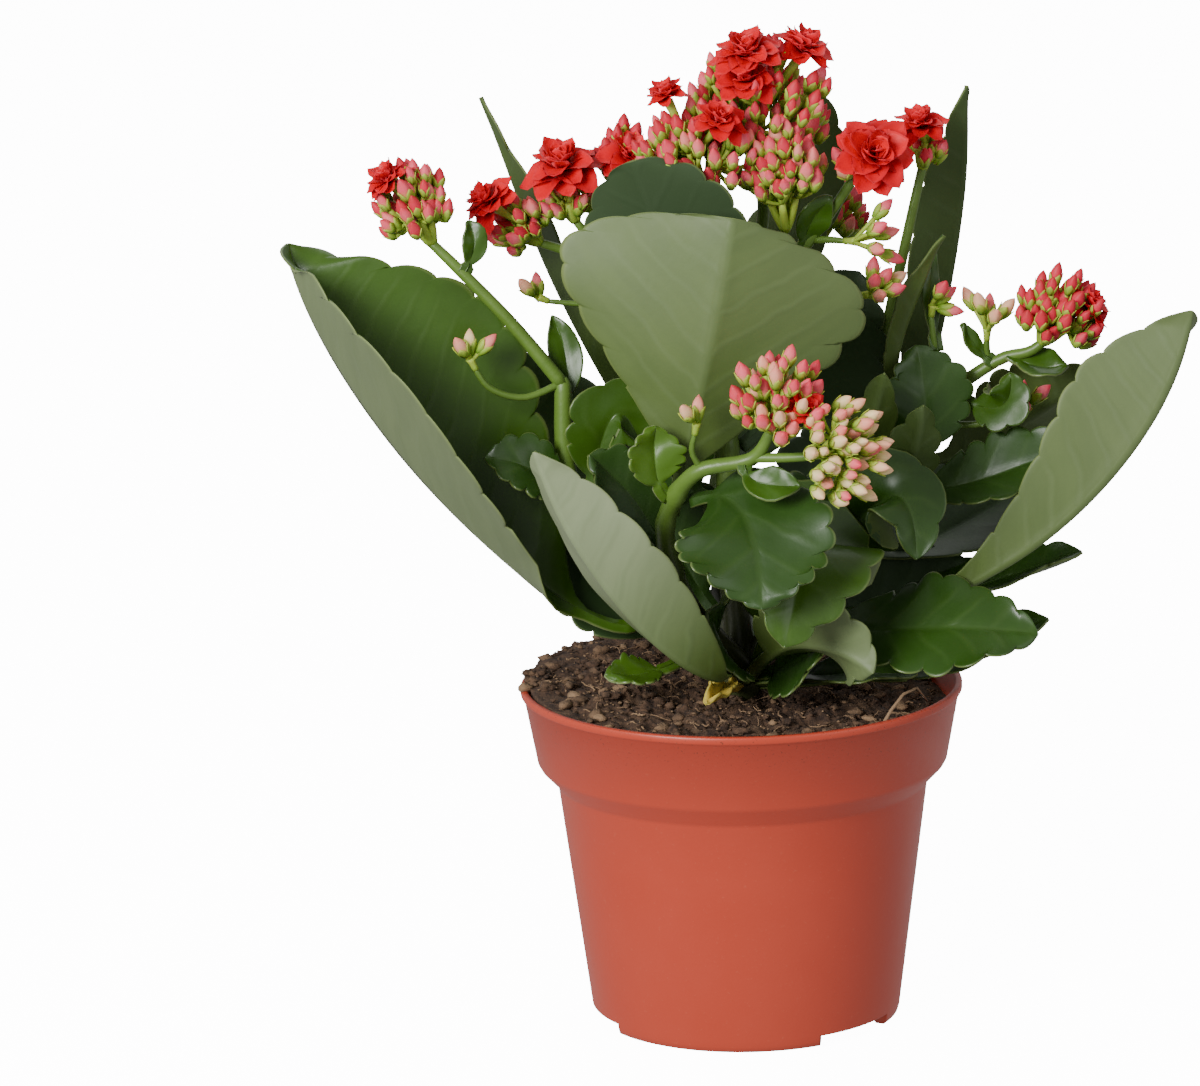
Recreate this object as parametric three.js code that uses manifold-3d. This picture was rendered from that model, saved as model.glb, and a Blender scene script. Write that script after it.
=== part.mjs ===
// A potted kalanchoe with double flowers: pot, soil, stems, leaves and flower clusters.
// Millimetres, +Z up, origin at the middle of the pot's foot; the plant's best side faces -Y.

import * as THREE from 'three';
import { mergeVertices } from 'three/addons/utils/BufferGeometryUtils.js';
import Module from 'manifold-3d';

const wasm = await Module();
wasm.setup();

const DEGREE = Math.PI / 180;
const GOLDEN_ANGLE = 137.508 * DEGREE;
const GAP = 0.3; // clearance between neighbouring pieces
const MERGE = 1e-4;
const EASE = 0.4; // chamfer on the rim's lip and the foot's edge

// Pot: a 12 cm nursery pot.
const POT = {
  height: 92.4,
  rimRadius: 60,
  lipHeight: 2.2,
  collarTopRadius: 59.2,
  collarFootRadius: 55.8,
  collarFootHeight: 71.4,
  bodyTopRadius: 50.35,
  bodyTopHeight: 65.9,
  footRadius: 41.7,
  wall: 1.4,
  footRing: 3,
  floorHeight: 4,
  sides: 36,
};
const NOTCH = { count: 3, first: -45 * DEGREE, span: 36 * DEGREE, height: 3 };
const DRAIN = { count: 6, radius: 4, circle: 24, sides: 10 };

// Soil: its surface is level with the rim in front and heaped at the back left.
const SOIL = { level: 88.5, heap: 11, dip: 6, lumps: 0.9, rings: 5, sectors: 24, holeFloor: 60 };

// Leaf sections: thickness at the midrib and at the margin, petiole half width, tip half width.
const LEAF = { rib: 1.7, margin: 0.75, petiole: 2.1, tip: 1.1, stalkThick: 2.6 };

// Buds and florets: petal widths and ring shares are parts of the petal length and floret radius.
const BUD = { length: 8, radius: 2.3, pedicel: 0.7, sides: 4 };
const CORE = { width: 0.6, depth: 0.375, sides: 6 };
const SPREAD = 105 * DEGREE; // how far round a dome the buds go
const LOOSE_SPREAD = 48 * DEGREE;
const PETAL_LAYERS = [
  { petals: 6, tilt: 6 * DEGREE, share: 1, rise: 0.1, drop: 0.5, notch: 0.5 },
  { petals: 5, tilt: 40 * DEGREE, share: 0.8, rise: 0.3, drop: 0.15, notch: 0.55 },
];

const COLOURS = {
  pot: 0xbe5a41,
  soil: 0x3a2418,
  stem: 0x6f9440,
  leaf: 0x35571f,
  pale: 0x7f9370,
  bud: 0xe2706a,
};

const vector = ([x, y, z]) => new THREE.Vector3(x, y, z);

function material(colour, roughness) {
  return new THREE.MeshStandardMaterial({ color: colour, roughness, metalness: 0 });
}

function geometryOf(positions, triangles) {
  const geometry = new THREE.BufferGeometry();
  geometry.setAttribute('position', new THREE.Float32BufferAttribute(positions, 3));
  geometry.setIndex(triangles);
  return geometry;
}

function toSolid(geometry) {
  const bare = geometry.clone();
  bare.deleteAttribute('normal');
  bare.deleteAttribute('uv');
  const merged = mergeVertices(bare, MERGE);
  return new wasm.Manifold(new wasm.Mesh({
    numProp: 3,
    vertProperties: new Float32Array(merged.attributes.position.array),
    triVerts: new Uint32Array(merged.index.array),
  }));
}

function fromSolid(solid) {
  const mesh = solid.getMesh();
  return geometryOf(Array.from(mesh.vertProperties), Array.from(mesh.triVerts));
}

function fuse(geometries) {
  const [first, ...rest] = geometries.map(toSolid);
  return fromSolid(rest.reduce((joined, next) => joined.add(next), first));
}

// The same minimal generator for every seeded draw, from 0 to 1.
function draws(seed) {
  let state = seed;
  return () => {
    state = (state * 16807) % 2147483647;
    return state / 2147483647;
  };
}

// A tapering tube along points, with a radius for each: a zero radius closes in a point.
function sweep(points, radii, sides) {
  const positions = [];
  const triangles = [];
  const rings = [];
  let across = null;
  points.forEach((point, i) => {
    const before = points[Math.max(i - 1, 0)];
    const after = points[Math.min(i + 1, points.length - 1)];
    const along = after.clone().sub(before).normalize();
    if (!across) {
      across = Math.abs(along.z) < 0.9 ? new THREE.Vector3(0, 0, 1) : new THREE.Vector3(1, 0, 0);
    }
    across = across.clone().addScaledVector(along, -across.dot(along)).normalize();
    const third = along.clone().cross(across);
    const count = radii[i] > 0 ? sides : 1;
    const ring = [];
    for (let k = 0; k < count; k += 1) {
      const angle = (k / sides) * 2 * Math.PI;
      const spot = point.clone()
        .addScaledVector(across, radii[i] * Math.cos(angle))
        .addScaledVector(third, radii[i] * Math.sin(angle));
      ring.push(positions.length / 3);
      positions.push(...spot.toArray());
    }
    rings.push(ring);
  });
  for (let i = 0; i + 1 < rings.length; i += 1) {
    for (let k = 0; k < sides; k += 1) {
      const a = rings[i][k % rings[i].length];
      const b = rings[i][(k + 1) % rings[i].length];
      const c = rings[i + 1][(k + 1) % rings[i + 1].length];
      const d = rings[i + 1][k % rings[i + 1].length];
      if (a !== b) triangles.push(a, b, c);
      if (c !== d) triangles.push(a, c, d);
    }
  }
  const [start, end] = [rings[0], rings[rings.length - 1]];
  for (let k = 1; k + 1 < start.length; k += 1) triangles.push(start[0], start[k + 1], start[k]);
  for (let k = 1; k + 1 < end.length; k += 1) triangles.push(end[0], end[k], end[k + 1]);
  return geometryOf(positions, triangles);
}

function potGeometry() {
  const { height, rimRadius, wall, footRadius, footRing, floorHeight } = POT;
  const profile = [
    [0, floorHeight],
    [footRadius - footRing - 3, floorHeight],
    [footRadius - footRing, 0],
    [footRadius - EASE, 0],
    [footRadius + EASE, 1.6],
    [POT.bodyTopRadius, POT.bodyTopHeight],
    [POT.collarFootRadius, POT.collarFootHeight],
    [POT.collarTopRadius, height - POT.lipHeight],
    [rimRadius, height - POT.lipHeight + EASE],
    [rimRadius, height - EASE],
    [rimRadius - EASE, height],
    [rimRadius - EASE - wall, height],
    [POT.collarFootRadius - wall, POT.collarFootHeight + 0.8],
    [POT.bodyTopRadius - wall, POT.bodyTopHeight + 0.8],
    [footRadius - wall + 0.6, floorHeight + wall],
    [0, floorHeight + wall],
  ].map(([r, z]) => new THREE.Vector2(r, z));
  const shell = new THREE.LatheGeometry(profile, POT.sides);
  shell.rotateX(Math.PI / 2);
  let pot = toSolid(shell);
  for (let i = 0; i < NOTCH.count; i += 1) {
    pot = pot.subtract(toSolid(notchGeometry(NOTCH.first + (i * 2 * Math.PI) / NOTCH.count)));
  }
  for (let i = 0; i < DRAIN.count; i += 1) {
    const angle = (i * 2 * Math.PI) / DRAIN.count;
    const drill = new THREE.CylinderGeometry(DRAIN.radius, DRAIN.radius, 4 * floorHeight, DRAIN.sides);
    drill.rotateX(Math.PI / 2);
    drill.translate(DRAIN.circle * Math.cos(angle), DRAIN.circle * Math.sin(angle), floorHeight);
    pot = pot.subtract(toSolid(drill));
  }
  return fromSolid(pot);
}

// A block for one drainage notch in the foot ring, centred on an angle.
function notchGeometry(middle) {
  const inner = POT.footRadius - POT.footRing - 2;
  const outer = POT.footRadius + 3;
  const outline = new THREE.Shape();
  outline.absarc(0, 0, outer, middle - NOTCH.span / 2, middle + NOTCH.span / 2, false);
  outline.absarc(0, 0, inner, middle + NOTCH.span / 2, middle - NOTCH.span / 2, true);
  const block = new THREE.ExtrudeGeometry(outline, {
    depth: NOTCH.height + 1,
    bevelEnabled: false,
    curveSegments: 4,
  });
  block.translate(0, 0, -1);
  return block;
}

// Height of the soil at a place: heaped at the back left, low at the back right, lumpy all over.
function soilHeight(x, y) {
  const reach = Math.hypot(x, y) / POT.rimRadius;
  const side = (-0.8 * x + 0.6 * y) / POT.rimRadius;
  const heap = SOIL.heap * Math.max(0, side) * (1 - 0.45 * reach * reach);
  const dip = SOIL.dip * Math.max(0, -side) * reach;
  const front = 1.8 * Math.max(0, -y / POT.rimRadius);
  const lumps = Math.sin(0.31 * x + 1.3) * Math.sin(0.27 * y + 0.4) + 0.6 * Math.sin(0.53 * x - 0.47 * y);
  return SOIL.level + heap - dip + front + SOIL.lumps * lumps * (1 - reach ** 4);
}

function innerRadius(z) {
  const low = POT.footRadius - POT.wall + 0.6;
  const top = POT.bodyTopRadius - POT.wall;
  const share = (z - POT.floorHeight - POT.wall) / (POT.bodyTopHeight + 0.8 - POT.floorHeight - POT.wall);
  if (share <= 1) return low + (top - low) * share;
  const collarFoot = POT.collarFootRadius - POT.wall;
  const foot = POT.collarFootHeight + 0.8;
  const collarTop = POT.rimRadius - EASE - POT.wall;
  return collarFoot + ((collarTop - collarFoot) * (z - foot)) / (POT.height - foot);
}

function soilGeometry(holeRadius) {
  const facet = Math.cos(Math.PI / POT.sides);
  const clear = (r) => r * facet - GAP;
  const floor = POT.floorHeight + POT.wall + GAP;
  const shoulder = POT.bodyTopHeight + 0.8;
  const step = POT.collarFootHeight + 0.8;
  const rings = [
    { radius: holeRadius, height: () => SOIL.holeFloor },
  ];
  for (let i = 0; i <= SOIL.rings; i += 1) {
    const share = i / SOIL.rings;
    rings.push({ share, height: soilHeight });
  }
  rings.push({ radius: clear(innerRadius(step)), height: () => step + GAP });
  rings.push({ radius: clear(innerRadius(shoulder)), height: () => shoulder });
  rings.push({ radius: clear(innerRadius(floor)), height: () => floor });
  const positions = [];
  const triangles = [];
  const ringStart = [];
  rings.forEach((ring) => {
    ringStart.push(positions.length / 3);
    for (let k = 0; k < SOIL.sectors; k += 1) {
      const angle = (k / SOIL.sectors) * 2 * Math.PI;
      let radius = ring.radius;
      if (ring.share !== undefined) {
        let edge = clear(innerRadius(SOIL.level));
        const rimHeight = soilHeight(edge * Math.cos(angle), edge * Math.sin(angle));
        edge = clear(innerRadius(Math.min(rimHeight, POT.height)));
        radius = holeRadius + (edge - holeRadius) * ring.share;
      }
      const [x, y] = [radius * Math.cos(angle), radius * Math.sin(angle)];
      positions.push(x, y, ring.height(x, y));
    }
  });
  for (let i = 0; i + 1 < rings.length; i += 1) {
    for (let k = 0; k < SOIL.sectors; k += 1) {
      const next = (k + 1) % SOIL.sectors;
      const [a, b] = [ringStart[i] + k, ringStart[i] + next];
      const [c, d] = [ringStart[i + 1] + next, ringStart[i + 1] + k];
      triangles.push(a, c, b, a, d, c);
    }
  }
  const holeCentre = positions.length / 3;
  positions.push(0, 0, SOIL.holeFloor);
  const floorCentre = positions.length / 3;
  positions.push(0, 0, floor);
  const last = ringStart[rings.length - 1];
  for (let k = 0; k < SOIL.sectors; k += 1) {
    const next = (k + 1) % SOIL.sectors;
    triangles.push(holeCentre, k, next);
    triangles.push(floorCentre, last + next, last + k);
  }
  return geometryOf(positions, triangles);
}

// Centre lines of the trunk, shoots and flower stalks, with the radius at each end and the side count.
const STALKS = {
  trunk: { line: [[0, 0, 61], [0, 0, 80], [0, 0, 99]], radius: [5.2, 4.6], sides: 8, steps: 2 },
  left: {
    line: [[-2, 0, 96], [-22, -5, 109], [-40, -12, 132], [-46, -16, 156], [-46.5, -16, 181]],
    radius: [3.8, 2.3], sides: 5, steps: 6,
  },
  centre: {
    line: [[0, 0, 96], [-2, 2, 130], [-3, 3, 165], [-4, 3, 188]],
    radius: [4.2, 2.4], sides: 6, steps: 3,
  },
  right: {
    line: [[2, 0, 97], [19, 2, 117], [39, 4, 145], [52, 5, 163], [61, 4, 175]],
    radius: [4, 2.2], sides: 5, steps: 5,
  },
  front: {
    line: [
      [0, -2, 97], [-11, -18, 113], [-18, -32, 130], [-20, -41, 147],
      [-12, -51, 162], [3, -54.5, 166.5], [8, -58, 175],
    ],
    radius: [3.6, 1.4], sides: 5, steps: 8,
  },
  front_right: {
    line: [[2, -54.4, 166.4], [13, -58, 167], [22, -62, 168.5]],
    radius: [1.4, 1.1], steps: 2,
  },
  back: {
    line: [[0, 2, 98], [-4, 16, 116], [-4, 30, 145], [4, 38, 172]],
    radius: [3.8, 2], sides: 5, steps: 3,
  },
  far_left: {
    line: [[-46.5, -16, 179], [-60, -15.5, 196], [-74, -14, 211], [-81, -13, 218]],
    radius: [2, 1.3],
  },
  small_left: {
    line: [[-46.5, -16, 179.5], [-57, -20, 176.5], [-66, -23, 180], [-70, -24, 186]],
    radius: [1, 0.8],
  },
  upper_left: {
    line: [[-5, 3, 185], [-20, 9, 199], [-40, 12, 208], [-53, 10, 213]],
    radius: [1.9, 1.2],
  },
  upper_mid: { line: [[-20, 9, 198], [-34, 13, 208], [-43, 12, 219]], radius: [1.5, 1.1], steps: 2 },
  upper_inner: { line: [[-20, 9, 198], [-26, 14, 212], [-29, 15, 226]], radius: [1.5, 1.1], steps: 2 },
  top_left: { line: [[-4, 2, 186], [-3, -5, 206], [-4, -11, 220], [-8, -13, 229]], radius: [1.9, 1.3] },
  top_right: { line: [[-3, 3, 186], [5, 2, 206], [8, 0, 222], [6.5, -1, 234]], radius: [2, 1.4] },
  top_low: { line: [[3, 2, 202], [10, -5, 210], [14, -10, 219]], radius: [1.3, 1.1], steps: 2 },
  upper_right: {
    line: [[-3, 2, 184], [10, 0, 202], [21.5, -5, 216], [33, -10, 233.5]],
    radius: [1.9, 1.3],
  },
  lower_right: {
    line: [[21.5, -5, 214.5], [26, -8, 215], [30, -11, 215]],
    radius: [1.1, 0.8], steps: 2,
  },
  under_right: { line: [[12, -1, 204], [24, -7, 201], [34, -10, 200]], radius: [1.1, 0.8], steps: 2 },
  outer_right: { line: [[39, 4, 143], [40, 8, 180], [47, 5, 215], [51, 4, 233]], radius: [1.8, 1.2] },
  right_end: {
    line: [[61, 4, 173], [72, 2, 180], [79, 0, 182], [83, -1, 185]],
    radius: [1.8, 1.3], steps: 3,
  },
  right_small: { line: [[68, 3, 178.5], [67.5, 2, 183], [67.5, 1, 186]], radius: [1, 0.8], steps: 2 },
  right_inner: { line: [[59, 4, 172], [54, 2, 182], [52.5, 1, 193]], radius: [1, 0.8], steps: 2 },
  right_low: { line: [[52, 5, 162], [64, 1, 162], [74, 1, 164]], radius: [1.1, 0.8], steps: 2 },
  front_small: {
    line: [[-10, -51, 162], [-13, -53, 168], [-12, -55, 174]],
    radius: [0.9, 0.7], steps: 2,
  },
  behind_left: { line: [[-20, 9, 198.5], [-38, 8, 196], [-51, 8, 197]], radius: [0.9, 0.7], steps: 2 },
  back_left: { line: [[-3, 31, 146], [-16, 42, 176], [-26, 48, 199]], radius: [1.8, 1.2], steps: 3 },
  back_right: { line: [[4, 38, 170], [16, 44, 188], [24, 50, 204]], radius: [1.8, 1.2], steps: 2 },
};
const STALK_DEFAULTS = { sides: 4, steps: 3 };
for (const stalk of Object.values(STALKS)) {
  stalk.curve = new THREE.CatmullRomCurve3(stalk.line.map(vector));
}

function stalkGeometry(stalk) {
  const { curve, radius, sides, steps } = { ...STALK_DEFAULTS, ...stalk };
  const points = [];
  const radii = [];
  for (let i = 0; i <= steps; i += 1) {
    points.push(curve.getPoint(i / steps));
    radii.push(radius[0] + ((radius[1] - radius[0]) * i) / steps);
  }
  return sweep(points, radii, sides);
}

// Where a leaf starts: just off the skin of its shoot, on the side that it grows to.
function leafRoot(leaf, stems) {
  const { on, at, path, up } = { ...LEAF_DEFAULTS, ...leaf };
  const { curve } = STALKS[on];
  const centre = curve.getPoint(at);
  const along = curve.getTangent(at);
  const toward = vector(path[0]).sub(centre);
  const outward = toward.clone().addScaledVector(along, -toward.dot(along)).normalize();
  const start = toward.normalize();
  const facing = vector(up).addScaledVector(start, -vector(up).dot(start)).normalize();
  const side = facing.clone().cross(start);
  const slant = LEAF.petiole * Math.abs(side.dot(outward))
    + 0.5 * LEAF.stalkThick * Math.abs(facing.dot(outward));
  const [skin] = new THREE.Raycaster(centre, outward).intersectObject(stems);
  return centre.addScaledVector(outward, skin.distance + GAP + slant);
}

function bezier(points) {
  if (points.length === 3) return new THREE.QuadraticBezierCurve3(...points);
  return new THREE.CubicBezierCurve3(...points);
}

// Places along a leaf, from 0 at its root to 1 at its tip: petiole, smooth base, then each lobe.
function leafStations(petiole, lobes, smooth) {
  const blade = (b) => petiole + (1 - petiole) * b;
  const stations = [0, 0.85 * petiole, blade(0.1)];
  for (let i = 0; i < 2 * lobes; i += 1) {
    stations.push(blade(smooth + ((1 - smooth) * i) / (2 * lobes)));
  }
  stations.push(1);
  return stations;
}

// Half the width of a leaf at a place along it. Lobes are scallops with sharp notches between.
function halfWidth(u, leaf) {
  if (u <= leaf.petiole) return LEAF.petiole;
  const b = (u - leaf.petiole) / (1 - leaf.petiole);
  const power = Math.log(0.5) / Math.log(leaf.widest);
  const full = Math.sin(Math.PI * Math.min(b, 0.9999) ** power) ** leaf.fullness;
  let half = (leaf.width / 2) * full;
  if (b > leaf.smooth) {
    const phase = ((b - leaf.smooth) / (1 - leaf.smooth)) * leaf.lobes;
    half -= leaf.notch * (1 - Math.abs(Math.sin(Math.PI * phase)) ** 0.7) * Math.min(1, half / 8);
  }
  const start = LEAF.petiole * Math.max(0, 1 - b / 0.12);
  return Math.max(half, start, LEAF.tip);
}

// How far out and up a half blade reaches, when its slope goes evenly from one angle to another.
function halfSection(length, from, to) {
  const bend = to - from;
  if (Math.abs(bend) < 1e-6) return [length * Math.cos(from), length * Math.sin(from)];
  return [
    (length * (Math.sin(to) - Math.sin(from))) / bend,
    (length * (Math.cos(from) - Math.cos(to))) / bend,
  ];
}

const LEAF_DEFAULTS = {
  up: [0, 0, 1],
  width: 30,
  petiole: 0.16,
  lobes: 4,
  smooth: 0.28,
  widest: 0.52,
  fullness: 0.7,
  notch: 1.8,
  fold: 20,
  curl: 0,
  wave: 0,
  waves: 2.5,
  colour: COLOURS.leaf,
};

function leafGeometry(spec, root) {
  const leaf = { ...LEAF_DEFAULTS, ...spec };
  const strips = leaf.curl || leaf.wave ? 2 : 1;
  const curve = bezier([root, ...leaf.path.map(vector)]);
  const stations = leafStations(leaf.petiole, leaf.lobes, leaf.smooth);
  const upRoot = vector(leaf.up);
  const upTip = vector(leaf.upTip ?? leaf.up);
  const across = 2 * strips + 1;
  const positions = [];
  const row = (i, j, face) => (i * across + j) * 2 + face;
  stations.forEach((u) => {
    const point = curve.getPointAt(u);
    const along = curve.getTangentAt(u);
    const up = upRoot.clone().lerp(upTip, u);
    up.addScaledVector(along, -up.dot(along)).normalize();
    const side = up.clone().cross(along);
    const half = halfWidth(u, leaf);
    const open = Math.min(1, half / (0.2 * leaf.width));
    const fold = leaf.fold * DEGREE * open;
    const curl = leaf.curl * DEGREE * open;
    const b = Math.max(0, (u - leaf.petiole) / (1 - leaf.petiole));
    const rib = LEAF.rib + (LEAF.stalkThick - LEAF.rib) * Math.max(0, 1 - 4 * b);
    for (let j = 0; j < across; j += 1) {
      const s = (j - strips) / strips;
      const reach = Math.abs(s);
      const hand = Math.sign(s);
      const angle = fold + curl * reach;
      const ripple = leaf.wave * Math.sin(2 * Math.PI * leaf.waves * b + (hand > 0 ? 0 : 1.9));
      const thick = (rib + (LEAF.margin - rib) * reach) / 2;
      const [lateral, height] = halfSection(half * reach, fold, angle);
      const middle = point.clone()
        .addScaledVector(side, hand * lateral)
        .addScaledVector(up, height + ripple * reach * reach * open);
      const normal = up.clone().multiplyScalar(Math.cos(reach ? angle : 0))
        .addScaledVector(side, -hand * Math.sin(angle));
      positions.push(...middle.clone().addScaledVector(normal, thick).toArray());
      positions.push(...middle.clone().addScaledVector(normal, -thick).toArray());
    }
  });
  const triangles = [];
  for (let i = 0; i + 1 < stations.length; i += 1) {
    for (let j = 0; j + 1 < across; j += 1) {
      const rising = j < strips;
      for (const face of [0, 1]) {
        const [a, b] = [row(i, j, face), row(i + 1, j, face)];
        const [c, d] = [row(i + 1, j + 1, face), row(i, j + 1, face)];
        const pair = rising ? [a, b, c, a, c, d] : [a, b, d, b, c, d];
        if (face === 1) pair.reverse();
        triangles.push(...pair);
      }
    }
    for (const j of [0, across - 1]) {
      const [a, b, c, d] = [row(i, j, 0), row(i + 1, j, 0), row(i + 1, j, 1), row(i, j, 1)];
      const wall = [a, c, b, a, d, c];
      if (j) wall.reverse();
      triangles.push(...wall);
    }
  }
  const last = stations.length - 1;
  for (let j = 0; j + 1 < across; j += 1) {
    const [a, b, c, d] = [row(0, j, 0), row(0, j + 1, 0), row(0, j + 1, 1), row(0, j, 1)];
    triangles.push(a, b, c, a, c, d);
    const [e, f, g, h] = [row(last, j, 0), row(last, j + 1, 0), row(last, j + 1, 1), row(last, j, 1)];
    triangles.push(e, g, f, e, h, g);
  }
  return geometryOf(positions, triangles);
}

// Leaves: the shoot and place they grow on, the rest of the midrib, and the way the upper face looks.
const PALE = { colour: COLOURS.pale };
const SMALL = { lobes: 3, petiole: 0.2, notch: 1.4 };
const LEAVES = {
  big_left: {
    on: 'left', at: 0.3, path: [[-45, -12, 104], [-114, -18, 177], [-118.6, -10, 217.7]],
    up: [0.66, -0.5, 0.56], width: 90, fold: 54, lobes: 6, petiole: 0.1, notch: 2.4, widest: 0.6,
  },
  big_front: {
    on: 'front', at: 0.49, path: [[-15, -38, 160], [-7, -50, 195], [-1, -44, 228]], up: [-0.05, 0.95, 0.15],
    width: 88, fold: 12, curl: 6, lobes: 5, petiole: 0.14, notch: 2.6,
    widest: 0.75, fullness: 0.42, ...PALE,
  },
  big_right: {
    on: 'right', at: 0.16, path: [[64, -33, 117], [110, -34, 150], [120, -24, 197]],
    up: [-0.35, 0.78, 0.5], width: 48, fold: 42, lobes: 6, petiole: 0.22, notch: 2.4,
    widest: 0.7, ...PALE,
  },
  front_left: {
    on: 'front', at: 0.117, path: [[6, -48, 95], [-34, -64, 112], [-54, -62, 171]],
    up: [0.35, 0.72, 0.6], width: 36, fold: 34, lobes: 5, petiole: 0.2, ...PALE,
  },
  front_glossy: {
    on: 'front', at: 0.583, path: [[4, -56, 162], [4, -73, 130]], up: [0.1, -0.75, 0.66],
    width: 44, fold: 6, curl: 10, lobes: 5, wave: 1.4, petiole: 0.14,
  },
  front_under: {
    on: 'trunk', at: 0.92, path: [[25, -38, 172], [10, -62, 117]], up: [0.2, -0.8, 0.56],
    width: 44, fold: 8, curl: 8, lobes: 5, petiole: 0.16,
  },
  front_low: {
    on: 'trunk', at: 0.86, path: [[12, -42, 122], [34, -51, 107]], up: [-0.1, 0.9, 0.42],
    width: 34, fold: 14, petiole: 0.34, ...PALE,
  },
  right_low: {
    on: 'right', at: 0.1, path: [[42, -40, 118], [78, -41, 114]], up: [0.05, -0.66, 0.75],
    width: 34, fold: 8, lobes: 5, wave: 1.4, petiole: 0.24,
  },
  right_out: {
    on: 'right', at: 0.2, path: [[52, 6, 108], [92.7, 0, 126.5]], up: [-0.3, -0.3, 0.9],
    width: 24, fold: 26, petiole: 0.3,
  },
  right_under: {
    on: 'trunk', at: 0.8, path: [[46, -2, 92], [83, -8, 110]], up: [-0.2, -0.4, 0.9],
    width: 26, fold: 16, petiole: 0.3,
  },
  right_dark: {
    on: 'right', at: 0.6, path: [[54, -7, 164], [48, -3, 185]], up: [0.2, -0.9, 0.3],
    width: 27, fold: 8,
  },
  right_round: {
    on: 'right', at: 0.91, path: [[75, -10, 163], [73, -8, 178]], up: [0, -0.9, 0.3],
    width: 15, ...SMALL,
  },
  right_pale: {
    on: 'right', at: 0.42, path: [[34, -12, 158], [39, -20, 181]], up: [0.1, 0.95, 0.2],
    width: 14, ...SMALL, ...PALE,
  },
  right_front: {
    on: 'right', at: 0.24, path: [[46, -28, 170], [46, -37, 134]], up: [0.3, -0.9, 0.3],
    width: 28,
  },
  right_striped: {
    on: 'right', at: 0.5, path: [[64, -14, 146], [92, -12, 160]], up: [0, -0.6, 0.8],
    width: 26,
  },
  right_behind: {
    on: 'right', at: 0.6, path: [[72, 18, 150], [97, 14, 174]], up: [0.1, 0.8, 0.5],
    width: 34,
  },
  tall_right: {
    on: 'right', at: 0.48, path: [[56, 30, 165], [63, 28, 208], [63.5, 18, 251.5]], up: [-0.8, 0.45, 0.2],
    width: 28, fold: 36, lobes: 5, petiole: 0.14, ...PALE,
  },
  narrow_right: {
    on: 'right', at: 0.64, path: [[37, -4, 182], [56, -2, 214.5]], up: [-0.7, 0.3, 0.6],
    width: 11, fold: 30, ...SMALL, ...PALE,
  },
  tall_left: {
    on: 'centre', at: 0.4, path: [[-34, 20, 158], [-54, 32, 212], [-67, 32, 249]], up: [0.9, 0.2, 0.4],
    width: 24, fold: 20, lobes: 5, ...PALE,
  },
  behind_front: {
    on: 'centre', at: 0.72, path: [[-8, -26, 188], [-27, -28, 241]], up: [0.2, 0.85, 0.4],
    width: 46, fold: 10, lobes: 5, widest: 0.66, fullness: 0.5, ...PALE,
  },
  left_striped: {
    on: 'left', at: 0.66, path: [[-52, -28, 160], [-67.5, -27, 162]], up: [-0.1, -0.7, 0.7],
    width: 20, ...SMALL,
  },
  left_inner: {
    on: 'left', at: 0.65, path: [[-34, -22, 186], [-26, -16, 162]], up: [0.1, -0.9, 0.35],
    width: 24,
  },
  left_dark: {
    on: 'front', at: 0.35, path: [[-26, -26, 150], [-40, -32, 163]], up: [0.2, -0.8, 0.5],
    width: 26,
  },
  front_bright: {
    on: 'front', at: 0.572, path: [[-24, -49, 158], [-22.5, -47, 174]], up: [0.3, -0.9, 0.2],
    width: 18, ...SMALL,
  },
  soil_left: {
    on: 'left', at: 0.15, path: [[-22, -19, 98], [-37, -24, 101]], up: [0, -0.5, 0.85],
    width: 14, ...SMALL, petiole: 0.4,
  },
  top_behind: {
    on: 'centre', at: 0.86, path: [[12, 36, 196], [28, 34, 232], [22, 24, 250]], up: [0, 0.9, 0.3],
    width: 26, ...PALE,
  },
  centre_behind: {
    on: 'centre', at: 0.58, path: [[18, 12, 168], [34, 15, 202]], up: [0, -0.8, 0.5],
    width: 44,
  },
  right_inner: {
    on: 'right', at: 0.4, path: [[46, -18, 146], [49, -24, 173]], up: [0, 0.9, 0.4],
    width: 18, ...PALE,
  },
  soil_right: {
    on: 'trunk', at: 0.84, path: [[22, -14, 97], [47, -18, 98]], up: [0, -0.3, 0.95],
    width: 20, ...SMALL, petiole: 0.3,
  },
  back_left: {
    on: 'left', at: 0.5, path: [[-52, 20, 136], [-66, 40, 180]], up: [0.5, -0.4, 0.7],
    width: 56, fold: 24,
  },
  back_out_left: {
    on: 'back', at: 0.3, path: [[-34, 40, 118], [-62, 62, 152]], up: [0.4, -0.5, 0.75],
    width: 56, fold: 22,
  },
  back_middle: {
    on: 'back', at: 0.6, path: [[0, 64, 140], [2, 76, 190]], up: [0, -0.8, 0.5],
    width: 60, fold: 20,
  },
  back_out_right: {
    on: 'back', at: 0.3, path: [[30, 52, 120], [54, 70, 158]], up: [-0.4, -0.5, 0.75],
    width: 52, fold: 22,
  },
  back_low: {
    on: 'trunk', at: 0.84, path: [[8, 38, 98], [26, 70, 112]], up: [0, -0.3, 0.95],
    width: 40, fold: 16, petiole: 0.3,
  },
  back_right: {
    on: 'right', at: 0.34, path: [[56, 22, 120], [90, 30, 146]], up: [-0.3, -0.5, 0.8],
    width: 42, fold: 18,
  },
};

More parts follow.
